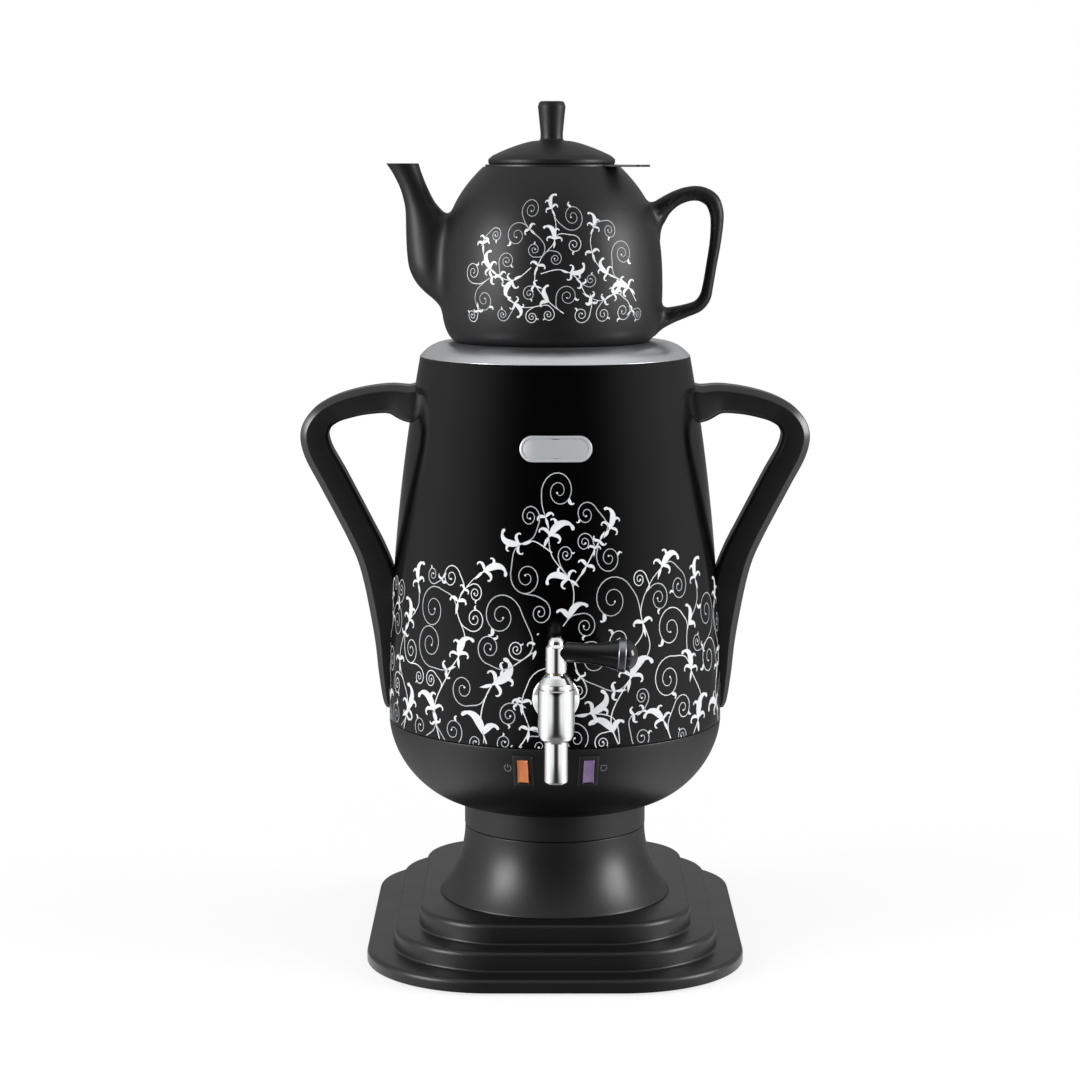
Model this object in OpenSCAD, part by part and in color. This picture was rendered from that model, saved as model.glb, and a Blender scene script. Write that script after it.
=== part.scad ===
// Electric samovar: a stepped plinth and a neck carry a bowl with two switches. A painted jacket
// round a steel tank stands on the bowl, with a tap, two side handles and a ceramic teapot on top.
// Millimetres, +Z up, the front faces -Y. The origin is on the body's axis at table level.

/* [Plinth] */
// Half width of the lowest tier
plinth_half_w = 106; // [98:1:112]
// Reach of the lowest tier in front of the body's axis
plinth_front = 106; // [100:1:114]
// Reach of the lowest tier behind the body's axis
plinth_back = 148; // [138:1:158]
// Corner radius of the lowest tier in front
plinth_front_r = 70; // [60:1:78]
// Corner radius of the lowest tier at the back
plinth_back_r = 52; // [44:1:60]
// Width of the ledge between the lowest and the middle tier
low_ledge = 15; // [13:0.5:17]
// Width of the ledge between the middle and the top tier
high_ledge = 14.5; // [13:0.5:16]
// Height of the lowest tier
low_tier_h = 7.5; // [6.5:0.5:10]
// Height of the middle tier
middle_tier_h = 11; // [9:0.5:14]
// Height of the top tier
top_tier_h = 11.5; // [9:0.5:14]
// Radius of each tier's upper edge
tier_edge_r = 3; // [1.5:0.5:4]
// Wall of the plinth moulding
plinth_wall = 2.6; // [2:0.1:3.2]
// Gap between the table and the plinth's skirt
skirt_gap = 1.5; // [1.2:0.1:2.5]
// Thickness of the bottom plate
plate_t = 2.2; // [2:0.1:3]
// Width of the rubber ring under the plate
foot_w = 6; // [4:0.5:8]

/* [Neck] */
// Radius of the neck at its top, and of the bowl's collar
neck_r = 51.4; // [48:0.2:54]
// Radius of the neck's foot
neck_foot_r = 66.2; // [63:0.2:69]
// Height of the neck
neck_h = 39.8; // [34:0.2:46]
// How late the neck flares: 1 is a cone
neck_flare = 2.1; // [1.6:0.1:2.6]
// Wall of the neck
neck_wall = 3; // [2.4:0.1:3.6]

/* [Bowl] */
// Height of the bowl's collar
collar_h = 15.1; // [12:0.1:18]
// Height of the bowl's curve
bowl_h = 47.2; // [44:0.2:54]
// Exponent of the bowl's curve: 2 is an ellipse
bowl_curve = 1.78; // [1.7:0.02:2]
// Wall of the bowl
bowl_wall = 3; // [2.4:0.1:3.4]

/* [Jacket] */
// Height of the jacket
jacket_h = 205.4; // [195:0.2:220]
// Outer radius of the jacket's foot
jacket_foot_r = 94.3; // [93:0.1:97]
// Outer radius of the jacket's top
jacket_top_r = 75.7; // [74.5:0.1:78]
// Sheet thickness of the jacket
jacket_t = 0.8; // [0.6:0.1:1]

/* [Badge] */
// Width of the blank plate on the jacket
badge_w = 39; // [30:1:46]
// Height of the plate
badge_h = 14; // [10:0.5:18]
// Distance of the plate's centre below the jacket's top
badge_drop = 44; // [36:1:52]

/* [Top ring] */
// Radius of the ring's domed shoulder
ring_dome_r = 19; // [17:0.5:22]
// Rise of the ring above the jacket
ring_rise = 8; // [7:0.2:9]
// Sheet thickness of the ring
ring_t = 1; // [0.8:0.1:1.2]
// Radius of the filling mouth
mouth_r = 46; // [42:0.5:47]

/* [Tank] */
// Distance from the jacket's outer face at its foot to the water in the tank
tank_gap = 12.3; // [11.3:0.1:14.3]
// Distance from the jacket's outer face at its top to the water in the tank
tank_top_gap = 5.7; // [4.7:0.1:9.7]
// Height of the tank's straight part
tank_straight_h = 104; // [96:1:108]
// Wall of the tank
tank_t = 0.8; // [0.6:0.1:1]
// Radius of the heater plate
heater_r = 56; // [50:0.5:58]
// Radius of the heating element's ring
element_ring_r = 42; // [38:0.5:46]
// Diameter of the tie rod
rod_d = 8; // [6:0.5:10]

/* [Side handles] */
// Depth of the handles, front to back
handle_depth = 20; // [16:1:24]
// Reach of the handles from the body's axis
handle_reach = 143.2; // [136:0.2:150]
// Width of a handle's bar where the hand holds it
handle_w = 16.4; // [14.4:0.2:18.4]
// Diameter of the screws that hold handles, neck and plate
screw_d = 3; // [2.5:0.1:3.6]

/* [Tap] */
// Distance of the tap's axis in front of the jacket's foot
tap_standoff = 30.7; // [28:0.1:38]
// Height of the tap's shank above the seam of bowl and jacket
tap_rise = 28.4; // [26:0.2:32]
// Radius of the tap's barrel
barrel_r = 9.7; // [9:0.1:11]
// Radius of the tap's plug
plug_r = 6; // [5:0.1:6.5]
// Radius of the nozzle
nozzle_r = 6.4; // [6:0.1:7.4]
// Length of the nozzle
nozzle_l = 22.4; // [18:0.2:26]
// Radius of the shank
shank_r = 6; // [5.4:0.1:6.6]
// Radius of the bore through shank and plug
water_r = 3.4; // [2.6:0.1:4]
// Radius of the cap that the lever turns
cap_r = 5.6; // [5:0.1:6.4]
// Reach of the lever from the tap's axis
lever_l = 43; // [36:0.5:50]
// Slope of the lever, end down
lever_droop = 3.5; // [0:0.5:6]

/* [Switches] */
// Width of a rocker
rocker_w = 6.4; // [5.6:0.1:7.4]
// Radius of a rocker's rounded ends about its pivot
rocker_r = 6.9; // [6.2:0.1:7.4]
// Angle between the two positions of a rocker
rocker_throw = 12; // [8:1:14]
// Distance of each switch from the middle, round the bowl
switch_offset = 18; // [15:0.5:22]
// Distance of the switches below the seam
switch_drop = 12.6; // [11.5:0.1:14]

/* [Teapot] */
// Distance of the teapot's axis from the body's axis, towards its spout
pot_offset = 2; // [0:0.5:3]
// Height of the teapot without its lid
pot_h = 97; // [90:1:104]
// Radius of the teapot's foot
pot_foot_r = 54; // [52:0.5:56]
// Largest radius of the teapot
pot_r = 62; // [60:0.5:64]
// Outer radius of the teapot's mouth
pot_mouth_r = 38.2; // [36:0.2:40]
// Wall of the teapot
pot_wall = 4; // [3.4:0.1:4.6]
// Radius of the lid
lid_r = 35.3; // [34:0.1:36]
// Rise of the lid's dome above its edge
lid_rise = 8.8; // [7:0.2:11]
// Height of the lid's knob
knob_h = 21.7; // [18:0.1:24]
// Radius of the knob's top
knob_r = 7.7; // [7:0.1:9]
// Depth of the infuser basket
basket_h = 48; // [40:1:56]
// Radius of the infuser basket
basket_r = 29; // [26:0.5:30]
// Reach of the infuser's tab from the teapot's axis
tab_reach = 59; // [52:0.5:66]

/* [Clearances] */
// Gap between parts that slip into each other
fit = 0.2; // [0.15:0.05:0.3]
// Radial gap of a shaft in its bore
running = 0.05; // [0.03:0.01:0.08]
// Play of a screw in its clearance hole
screw_play = 0.2; // [0.15:0.05:0.4]

/* [Hidden] */
$fn = 96;

// Heights from the table
z_low_tier = skirt_gap + low_tier_h;
z_middle_tier = z_low_tier + middle_tier_h;
z_plinth = z_middle_tier + top_tier_h;
z_neck = z_plinth + neck_h;
z_bowl = z_neck + collar_h;
z_seam = z_bowl + bowl_h;
z_jacket = z_seam + jacket_h;
z_seat = z_jacket + ring_rise;

// Plinth
middle_inset = low_ledge;
top_inset = low_ledge + high_ledge;
front_r_share = 0.77;
back_r_share = 0.4;
foot_margin = 6;
foot_inset = plinth_wall + foot_margin;
groove_depth = 0.8;
boss_r = 4;
boss_inset = low_ledge + plinth_wall + boss_r + 2;
boss_hole_h = 8;
plate_screw_bite = 6;
plate_screw_l = plate_t + plate_screw_bite;
cut = 1;
cut_out = 10;
screw_r = screw_d / 2;
screw_hole_r = screw_r + screw_play;
head_r = screw_d * 1.1;
head_h = screw_d / 2;
side_boss_y = 20;

// Neck
neck_boss_margin = 6;
neck_boss_r = (neck_r + neck_foot_r) / 2 - neck_boss_margin;
neck_boss_h = 15;
neck_screw_bite = 10;
neck_screw_l = plinth_wall + neck_screw_bite;
spigot_h = 4;
spigot_t = 2;

// Jacket: its outer line is an arc that stands upright at the foot
jacket_drop = jacket_foot_r - jacket_top_r;
jacket_arc_r = (jacket_h * jacket_h + jacket_drop * jacket_drop) / (2 * jacket_drop);
arc_fn = 1440;
seat_fn = 360;
badge_t = 0.9;
badge_rim_t = 1.6;
badge_rim_w = 1.3;

// Top ring and tank
ring_flat_r = jacket_top_r - sqrt(ring_dome_r * ring_dome_r - pow(ring_dome_r - ring_rise, 2));
tank_r = jacket_foot_r - tank_gap;
tank_top_r = jacket_top_r - tank_top_gap;
gasket_t = 1.3;
gasket_h = 7;
tank_mouth_r = mouth_r + ring_t + gasket_t;
floor_rise = 7.4;
shoulder_drop = 3;
ring_skirt_h = 5;
z_floor = z_seam + floor_rise;
z_shoulder = z_jacket - shoulder_drop;
heater_t = 5;
element_r = 4;
element_flat = 0.8;
element_angle = 320;
z_element = z_floor - heater_t - element_r + element_flat;
cold_end_h = 9;
cold_end_r = element_r * 0.8;
element_start = 110;
thermostat_r = 8;
thermostat_h = 9;
blade_t = 0.8;
blade_w = 4.8;
blade_h = 7;
fuse_x = 25;
fuse_r = 2.2;
bridge_t = 2.5;
bridge_w = 20;
bridge_drop = 27;
bridge_foot = 12;
z_bridge = z_floor - bridge_drop;
bridge_clear = 4;
bridge_x = heater_r + bridge_clear;
thermostat_gap = 3;
thermostat_y = bridge_w / 2 + thermostat_r + thermostat_gap;
thermostat_blade_x = 4;
fuse_l = 12;
fuse_clip_t = 1;
rod_end = 3;
rod_r = rod_d / 2;
nut_r = rod_d * 0.92;
nut_h = rod_d * 0.8;
washer_r = rod_d * 1.4;
washer_t = 1.5;

// Side handles, drawn for one height of jacket and one width and stretched with them: stations
// are x, z, half width, half depth as a share of the handle's own
handle_drawn_h = 205.4;
handle_drawn_w = 16.4;
handle_broad = handle_w / handle_drawn_w;
handle_stations = [
    [-12, 0, 12, 1.2], [-1, -0.4, 10.4, 1.15], [10, 2.2, 8.2, 1], [23, 1.2, 7.6, 0.95],
    [34.5, -1.4, 7.3, 0.92], [43, -4.7, 7, 0.9], [49.5, -9.6, 7.2, 0.9], [53.2, -17.4, 7.8, 0.9],
    [51.2, -27.6, 8, 0.9], [43.8, -41.5, 8.2, 0.9], [35.7, -57, 8.2, 0.9], [27.9, -72.2, 8.2, 0.92],
    [21.6, -85.5, 8.5, 0.96], [17.2, -99, 9, 1], [14.6, -115, 8.4, 1.04], [13.2, -135, 6.5, 1.06],
    [12.3, -153, 5.5, 1.04], [11.4, -168, 4.2, 0.98], [10.6, -173, 3, 0.9]
];
handle_root = 6.5;
handle_bend = 14;
handle_path_reach = 61;
handle_x = jacket_top_r + handle_root;
handle_stretch = (handle_reach - handle_x) / handle_path_reach;
handle_drop = 26.2;
handle_screw_drop = 100;
handle_rise = jacket_h / handle_drawn_h;
handle_z = z_jacket - handle_drop;
handle_ring_n = 20;
handle_power = 3.4;
upper_screw_z = handle_z;
lower_screw_z = handle_z - handle_screw_drop * handle_rise;
handle_screw_depth = 9;
head_relief = 0.1;

// Tap
tap_reach = jacket_foot_r + tap_standoff;
z_tap = z_seam + tap_rise;
barrel_up = 11;
barrel_down = 11.2;
barrel_round = 6;
shoulder_r = 11;
shoulder_t = 4;
tap_washer_t = 2.4;
tap_washer_r = shoulder_r - 1;
tap_nut_h = 5;
shank_end = 4;
escutcheon_r = 12;
escutcheon_t = 4.5;
escutcheon_taper = 0.3;
escutcheon_sink = 6;
seat_reach = escutcheon_r + 3;
seat_relief = 0.1;
shank_bare = 8.5;
shank_socket = plug_r + 3;
tap_boss_r = shank_r + 1.6;
tap_boss_from = jacket_foot_r + escutcheon_t + shank_bare;
barrel_foot_r = nozzle_r + 0.5;
chamber_down = 8;
chamber_up = 7;
bonnet_spigot_t = 1;
bonnet_spigot_r = plug_r + bonnet_spigot_t;
bonnet_collar_h = 3.2;
bonnet_cone_h = 5;
bonnet_top_r = 4.8;
stem_r = plug_r / 2;
nozzle_socket = 5;
nozzle_socket_r = nozzle_r - 1.4;
nozzle_bore_r = nozzle_r - 2.2;
z_barrel_top = z_tap + barrel_up;
z_barrel_end = z_tap - barrel_down - barrel_round;
z_bonnet_top = z_barrel_top + bonnet_collar_h + bonnet_cone_h;
cap_h = 15.4;
cap_dome_h = 3.8;
cap_dome_r = 3.9;
cap_gap = 0.2;
cap_socket_h = 6;
lever_rise = 11.3;
z_cap = z_bonnet_top + cap_gap;
z_lever = z_cap + lever_rise;
pin_r = 1.8;
pin_l = lever_l - 3;
lever_r = 5.3;
lever_flare_r = 8.1;
lever_ring_r = 8.9;
lever_ring_l = 4.2;
lever_end_l = 6.4;
lever_flare_at = lever_l - lever_ring_l - lever_end_l;

// Switches, in a frame that faces out of the bowl's front
switch_turn = asin(switch_offset / jacket_foot_r);
bowl_sin = pow(switch_drop / bowl_h, bowl_curve / 2);
switch_r = neck_r + (jacket_foot_r - neck_r) * pow(sqrt(1 - bowl_sin * bowl_sin), 2 / bowl_curve);
switch_tilt = 17;
rocker_gap = 0.3;
rocker_front = 3;
rocker_back = 2.4;
rocker_dish_r = 32;
rocker_dish = 0.6;
rocker_proud = 0.9;
pivot_r = 1.1;
bezel_side = 1.1;
bezel_proud = 0.7;
bezel_sink = 0.9;
switch_wall = 0.9;
switch_depth = 11;
pivot_depth = rocker_front - bezel_proud - rocker_proud;
window_w = rocker_w + 2 * rocker_gap;
window_h = 2 * (rocker_r + rocker_gap);
case_w = window_w + 2 * switch_wall;
case_h = window_h + 2 * switch_wall;
terminal_z = case_h / 2 - 3;
bezel_w = case_w + 2 * bezel_side;
bezel_h = case_h + 2 * bezel_side;

// Mains inlet, on an upright pad behind the bowl
inlet_drop = 15.5;
inlet_w = 27;
inlet_h = 19.5;
inlet_depth = 19;
inlet_wall = 1.6;
inlet_flange_w = 50;
inlet_flange_h = 23;
inlet_flange_t = 2;
inlet_screw_x = 20;
inlet_screw_l = inlet_flange_t + 6;
inlet_pad_edge = 2;
inlet_pad_w = inlet_flange_w + 2 * inlet_pad_edge;
inlet_pad_h = inlet_flange_h + 2 * inlet_pad_edge;
inlet_face_inset = 1;
inlet_face_y = jacket_foot_r - inlet_face_inset;
inlet_pad_depth = 40;
inlet_pad_y = inlet_face_y - inlet_pad_depth;
z_inlet = z_seam - inlet_drop;
pin_w = 2;
pin_h = 4;
pin_inset = 6;
inlet_pin_places = [[-7, -2], [7, -2], [0, 2]];

// Teapot, drawn for one radius and height and stretched with them
pot_drawn_r = 62;
pot_drawn_h = 97;
pot_stretch = pot_r / pot_drawn_r;
pot_rise = pot_h / pot_drawn_h;
rim_t = 1.2;
pot_recess = 2;
pot_floor_h = pot_recess + pot_wall;
pot_shoulder_h = 0.6 * pot_h;
spout_stations = [
    [19, 59, 50, 8], [23, 65, 50, 11], [27.6, 71, 50, 13], [33.3, 76, 50, 14.5], [40.4, 79.4, 50, 15],
    [49, 80.7, 50, 14], [60, 81.2, 52, 12], [71.6, 81.4, 60.2, 9.6], [78, 82.3, 65.3, 8.4],
    [85.7, 84.6, 69.2, 7.7], [93.4, 88.4, 72.3, 7.4], [98.8, 92, 74, 7.6]
];
spout_channel = [
    [38, 75.5, 52, 10], [49, 77, 52, 10], [60, 77.6, 55.6, 8.4], [71.6, 77.8, 63.6, 6.2],
    [78, 78.8, 68.6, 5.2], [85.7, 81.1, 72.5, 4.7], [93.4, 84.8, 75.7, 4.5], [99.5, 89.2, 77.4, 4.7]
];
pot_handle_stations = [
    [53, 66.5, 9, 6.5], [58, 70.6, 6.8, 6], [62.5, 75, 5.2, 5.6], [69, 79.4, 4.3, 5.2],
    [76.5, 82, 4.1, 5], [83.2, 81.9, 4.2, 4.9], [89, 78.6, 4.3, 4.9], [91.7, 72.6, 4, 4.9],
    [92.2, 66, 3.6, 4.9], [91.3, 55, 3.2, 4.8], [89.3, 42.5, 3, 4.8], [87.4, 31, 3, 4.8],
    [85.8, 24.5, 3.3, 4.8], [82, 19.8, 3.4, 4.9], [75.3, 17.1, 3.7, 5], [67.6, 14.8, 4.5, 5.4],
    [61, 12.6, 5.5, 6], [55.5, 11, 6.5, 6.4]
];
pot_ring_n = 24;
pot_power = 2.2;
tab_turn = -30;
tab_w = 14;
tab_t = 1.2;
rim_r = pot_mouth_r - 1.2;
basket_t = 0.8;
basket_hole_r = 1.6;
basket_rows = 4;
basket_columns = 16;
lug_w = 7;
lug_h = 5.4;
lug_edge_h = 0.6;
lug_foot = 2;
lug_in = pot_mouth_r + 1.3;
lid_flange_r = basket_r - 1.6;
lid_flange_h = 6;
lid_edge_h = 4.3;
lid_crown_r = 14;
knob_neck_r = 6.2;
knob_neck_h = 4;

// Shared shapes

// One quarter of the jacket's side view: everything inside its outer line, moved out by grow
module jacket_line(grow) {
    intersection() {
        translate([jacket_foot_r - jacket_arc_r, z_seam])
            circle(jacket_arc_r + grow, $fn = arc_fn);
        translate([0, z_seam])
            square([jacket_foot_r + grow, jacket_h]);
    }
}

// The jacket's outer volume, used to seat what stands on the jacket
module jacket_volume(grow = 0) {
    rotate_extrude($fn = seat_fn) jacket_line(grow);
}

// The tank's straight part as a full cylinder, used to seat the tap's washers
module tank_volume(r) {
    translate([0, 0, z_floor]) cylinder(h = tank_straight_h, r = r, $fn = seat_fn);
}

module tube(outer_r, inner_r, h) {
    rotate_extrude() translate([inner_r, 0]) square([outer_r - inner_r, h]);
}

// Screw with its head below z = 0 and its shank upwards
module screw(length) {
    translate([0, 0, -head_h]) difference() {
        cylinder(h = head_h, r = head_r);
        translate([-head_r, -0.4, -0.1]) cube([2 * head_r, 0.8, head_h / 2 + 0.1]);
    }
    cylinder(h = length, r = screw_r);
}

module hex_nut(outer_r, bore_r, h) {
    difference() {
        cylinder(h = h, r = outer_r, $fn = 6);
        translate([0, 0, -1]) cylinder(h = h + 2, r = bore_r);
    }
}

// Smooth line through stations, as a Catmull-Rom blend of each value
function blend(a, b, c, d, t) =
    0.5 * (2 * b + (c - a) * t + (2 * a - 5 * b + 4 * c - d) * t * t + (3 * b - a - 3 * c + d) * t * t * t);
function smooth_stations(s, n) = [
    for (i = [0 : len(s) - 2], k = [0 : n - 1])
        blend(s[max(i - 1, 0)], s[i], s[i + 1], s[min(i + 2, len(s) - 1)], k / n),
    s[len(s) - 1]
];

// Cosine and sine pushed towards a rounded rectangle
function squared(v, p) = sign(v) * pow(abs(v), 2 / p);

// Ring of points about a centre in the XZ plane: across it along "side", and along Y for its depth
function ring_points(x, z, side, half_w, half_d, p, n) = [
    for (k = [0 : n - 1]) let (
        u = half_w * squared(cos(360 * k / n), p),
        v = half_d * squared(sin(360 * k / n), p)
    ) [x + side[0] * u, v, z + side[1] * u]
];
function turn_left(v) = [-v[1], v[0]] / norm(v);
function path_side(s, i) = let (
    a = s[max(i - 1, 0)],
    b = s[min(i + 1, len(s) - 1)]
) turn_left([b[0] - a[0], b[1] - a[1]]);

// Closed solid through a list of rings
module skin(rings) {
    n = len(rings[0]);
    last = len(rings) - 1;
    sides = [
        for (i = [0 : last - 1], k = [0 : n - 1]) let (m = (k + 1) % n)
            each [[i * n + k, i * n + m, i * n + n + m], [i * n + k, i * n + n + m, i * n + n + k]]
    ];
    polyhedron(
        points = [for (r = rings) each r],
        faces = concat([[for (k = [n - 1 : -1 : 0]) k]], sides, [[for (k = [0 : n - 1]) last * n + k]])
    );
}

// Plinth

function tier_corners(inset) = let (
    hw = plinth_half_w - inset,
    f = plinth_front - inset,
    b = plinth_back - inset,
    fr = plinth_front_r - inset * front_r_share,
    br = plinth_back_r - inset * back_r_share
) [[hw - br, b - br, br], [br - hw, b - br, br], [fr - hw, fr - f, fr], [hw - fr, fr - f, fr]];

module tier_plan(corners, grow = 0) {
    for (c = corners) translate([c[0], c[1]]) circle(c[2] + grow, $fn = 128);
    polygon([
        for (k = [0 : 3], a = [90 * k, 90 * k + 90]) let (c = corners[k])
            [c[0] + (c[2] + grow) * cos(a), c[1] + (c[2] + grow) * sin(a)]
    ]);
}

module edge_section(r, h) {
    translate([r - tier_edge_r, 0]) {
        square([tier_edge_r, h - tier_edge_r]);
        translate([0, h - tier_edge_r]) intersection() {
            circle(tier_edge_r, $fn = 48);
            square(tier_edge_r);
        }
    }
}

// One tier with a rounded upper edge: a core, four corner sweeps and four straight sweeps
module tier(inset, h) {
    corners = tier_corners(inset);
    linear_extrude(h) tier_plan(corners, -tier_edge_r);
    for (k = [0 : 3]) {
        c = corners[k];
        next = corners[(k + 3) % 4];
        run = (k % 2 == 0) ? abs(next[1] - c[1]) : abs(next[0] - c[0]);
        translate([c[0], c[1], 0]) {
            rotate([0, 0, 90 * k]) rotate_extrude(angle = 90, $fn = 128) edge_section(c[2], h);
            rotate([90, 0, 90 * k]) linear_extrude(run) edge_section(c[2], h);
        }
    }
}

// Places of the screws that hold the bottom plate: one in each corner and one at each side
boss_places = concat(
    [
        for (k = [0 : 3]) let (c = tier_corners(0)[k], r = c[2] - boss_inset, a = 90 * k + 45)
            [c[0] + r * cos(a), c[1] + r * sin(a)]
    ],
    [for (s = [-1, 1]) [s * (plinth_half_w - boss_inset), side_boss_y]]
);
z_plate_top = skirt_gap + plate_t;
z_plate_screw = skirt_gap + groove_depth;

module foot_ring() {
    color("#141414") linear_extrude(skirt_gap + groove_depth) difference() {
        tier_plan(tier_corners(foot_inset));
        tier_plan(tier_corners(foot_inset + foot_w));
    }
}

module base_plate() {
    color("#232323") difference() {
        translate([0, 0, skirt_gap]) linear_extrude(plate_t)
            tier_plan(tier_corners(plinth_wall + fit));
        translate([0, 0, skirt_gap - cut]) linear_extrude(groove_depth + cut) difference() {
            tier_plan(tier_corners(foot_inset - fit));
            tier_plan(tier_corners(foot_inset + foot_w + fit));
        }
        for (p = boss_places) translate([p[0], p[1], 0]) {
            cylinder(h = z_plate_top + cut, r = screw_hole_r);
            cylinder(h = z_plate_screw, r = head_r + fit);
        }
    }
}

module base_screws() {
    color("#b9bcbf") for (p = boss_places)
        translate([p[0], p[1], z_plate_screw]) screw(plate_screw_l);
}

neck_screw_places = [for (a = [45 : 90 : 315]) [neck_boss_r * cos(a), neck_boss_r * sin(a)]];
z_top_plate = z_plinth - plinth_wall;

module base_plinth() {
    color("#26272a") difference() {
        union() {
            difference() {
                union() {
                    translate([0, 0, skirt_gap]) {
                        tier(0, low_tier_h);
                        tier(middle_inset, z_middle_tier - skirt_gap);
                        tier(top_inset, z_plinth - skirt_gap);
                    }
                }
                translate([0, 0, skirt_gap - cut]) {
                    linear_extrude(low_tier_h - plinth_wall + cut)
                        tier_plan(tier_corners(plinth_wall));
                    linear_extrude(z_middle_tier - skirt_gap - plinth_wall + cut)
                        tier_plan(tier_corners(middle_inset + plinth_wall));
                    linear_extrude(z_plinth - skirt_gap - plinth_wall + cut)
                        tier_plan(tier_corners(top_inset + plinth_wall));
                }
            }
            for (p = boss_places) translate([p[0], p[1], z_plate_top])
                cylinder(h = z_middle_tier - plinth_wall / 2 - z_plate_top, r = boss_r);
        }
        for (p = boss_places) translate([p[0], p[1], z_plate_top - cut])
            cylinder(h = boss_hole_h + cut, r = screw_r);
        for (p = neck_screw_places) translate([p[0], p[1], z_top_plate - cut])
            cylinder(h = plinth_wall + 2 * cut, r = screw_hole_r);
        translate([0, 0, z_top_plate - cut]) cylinder(h = plinth_wall + 2 * cut, r = rod_r + screw_play);
    }
}

// Neck

module neck_screws() {
    color("#b9bcbf") for (p = neck_screw_places)
        translate([p[0], p[1], z_top_plate]) screw(neck_screw_l);
}

function neck_line(t) = neck_r + (neck_foot_r - neck_r) * pow(1 - t, neck_flare);

module neck_pedestal() {
    steps = 28;
    outer = [for (i = [0 : steps]) [neck_line(i / steps), z_plinth + neck_h * i / steps]];
    inner = [
        for (i = [steps : -1 : 0]) let (t = i / steps) [neck_line(t) - neck_wall, z_plinth + neck_h * t]
    ];
    color("#26272a") difference() {
        union() {
            rotate_extrude() polygon(concat(outer, inner));
            translate([0, 0, z_neck - spigot_h])
                tube(neck_r - bowl_wall - fit, neck_r - bowl_wall - fit - spigot_t, 2 * spigot_h);
            translate([0, 0, z_neck - spigot_h])
                tube(neck_r - neck_wall / 2, neck_r - bowl_wall - fit - spigot_t, spigot_h);
            intersection() {
                for (p = neck_screw_places) translate([p[0], p[1], z_plinth])
                    cylinder(h = neck_boss_h, r = boss_r);
                rotate_extrude() polygon(concat([[0, z_plinth]], outer, [[0, z_neck]]));
            }
        }
        for (p = neck_screw_places) translate([p[0], p[1], z_plinth - cut])
            cylinder(h = neck_screw_l - plinth_wall + 2 * cut, r = screw_r);
    }
}

// Bowl

// Side view of the bowl's curve, from the seam down to the collar, moved in by inset
function bowl_line(inset) = [
    for (i = [0 : 32]) let (a = 90 * i / 32) [
        neck_r - inset + (jacket_foot_r - neck_r) * pow(cos(a), 2 / bowl_curve),
        z_seam - (bowl_h - inset) * pow(sin(a), 2 / bowl_curve)
    ]
];

module at_switch(side) {
    rotate([0, 0, side * switch_turn])
        translate([0, -switch_r, z_seam - switch_drop])
            rotate([switch_tilt, 0, 0]) children();
}

module centred_block(w, y_front, y_back, h) {
    translate([-w / 2, y_front, -h / 2]) cube([w, y_back - y_front, h]);
}

module bowl_housing() {
    jacket_spigot_r = jacket_foot_r - jacket_t - fit;
    color("#303134") difference() {
        union() {
            rotate_extrude() polygon(concat([[0, z_seam]], bowl_line(0), [[neck_r, z_neck], [0, z_neck]]));
            translate([0, 0, z_inlet])
                centred_block(inlet_pad_w, inlet_pad_y, inlet_face_y, inlet_pad_h);
            rotate_extrude() translate([jacket_spigot_r - spigot_t, z_seam - spigot_h])
                square([spigot_t, 2 * spigot_h]);
        }
        rotate_extrude() polygon(concat(
            [
                [0, z_seam + spigot_h + cut], [jacket_spigot_r - spigot_t, z_seam + spigot_h + cut],
                [jacket_spigot_r - spigot_t, z_seam]
            ],
            bowl_line(bowl_wall),
            [[neck_r - bowl_wall, z_neck - cut], [0, z_neck - cut]]
        ));
        for (side = [-1, 1]) at_switch(side) {
            centred_block(case_w + 2 * fit, -cut_out, switch_depth + cut, case_h + 2 * fit);
            centred_block(bezel_w + 2 * fit, -cut_out, bezel_sink, bezel_h + 2 * fit);
        }
        translate([0, 0, z_inlet]) {
            centred_block(inlet_pad_w, inlet_face_y, inlet_face_y + cut_out, inlet_pad_h);
            centred_block(inlet_w + 2 * fit, inlet_pad_y - cut_out, inlet_face_y + cut, inlet_h + 2 * fit);
            for (s = [-1, 1]) translate([s * inlet_screw_x, inlet_face_y + cut, 0])
                rotate([90, 0, 0]) cylinder(h = inlet_screw_l - inlet_flange_t + cut, r = screw_r);
        }
    }
}

// Jacket, badge, ring and tank

module body_jacket() {
    color("#0b0b0c") difference() {
        rotate_extrude() difference() {
            jacket_line(0);
            translate([jacket_foot_r - jacket_arc_r, z_seam])
                circle(jacket_arc_r - jacket_t, $fn = arc_fn);
        }
        along_shank() translate([0, 0, tank_r]) cylinder(h = tap_reach - tank_r, r = shank_r + screw_play);
        for (s = [-1, 1], z = [upper_screw_z, lower_screw_z]) translate([s * tank_top_r, 0, z])
            rotate([0, s * 90, 0]) cylinder(h = jacket_foot_r - tank_top_r, r = screw_hole_r);
    }
}

module stadium(w, h) {
    for (s = [-1, 1]) translate([s * (w - h) / 2, 0]) circle(h / 2);
    translate([-(w - h) / 2, -h / 2]) square([w - h, h]);
}

module on_jacket_front(drop) {
    translate([0, 0, z_jacket - drop]) rotate([90, 0, 0]) linear_extrude(tap_reach) children();
}

module badge_plate() {
    color("#c3c5c8") {
        intersection() {
            difference() {
                jacket_volume(badge_t);
                jacket_volume();
            }
            on_jacket_front(badge_drop) stadium(badge_w, badge_h);
        }
        intersection() {
            difference() {
                jacket_volume(badge_rim_t);
                jacket_volume();
            }
            on_jacket_front(badge_drop) difference() {
                stadium(badge_w, badge_h);
                stadium(badge_w - 2 * badge_rim_w, badge_h - 2 * badge_rim_w);
            }
        }
    }
}

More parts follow.
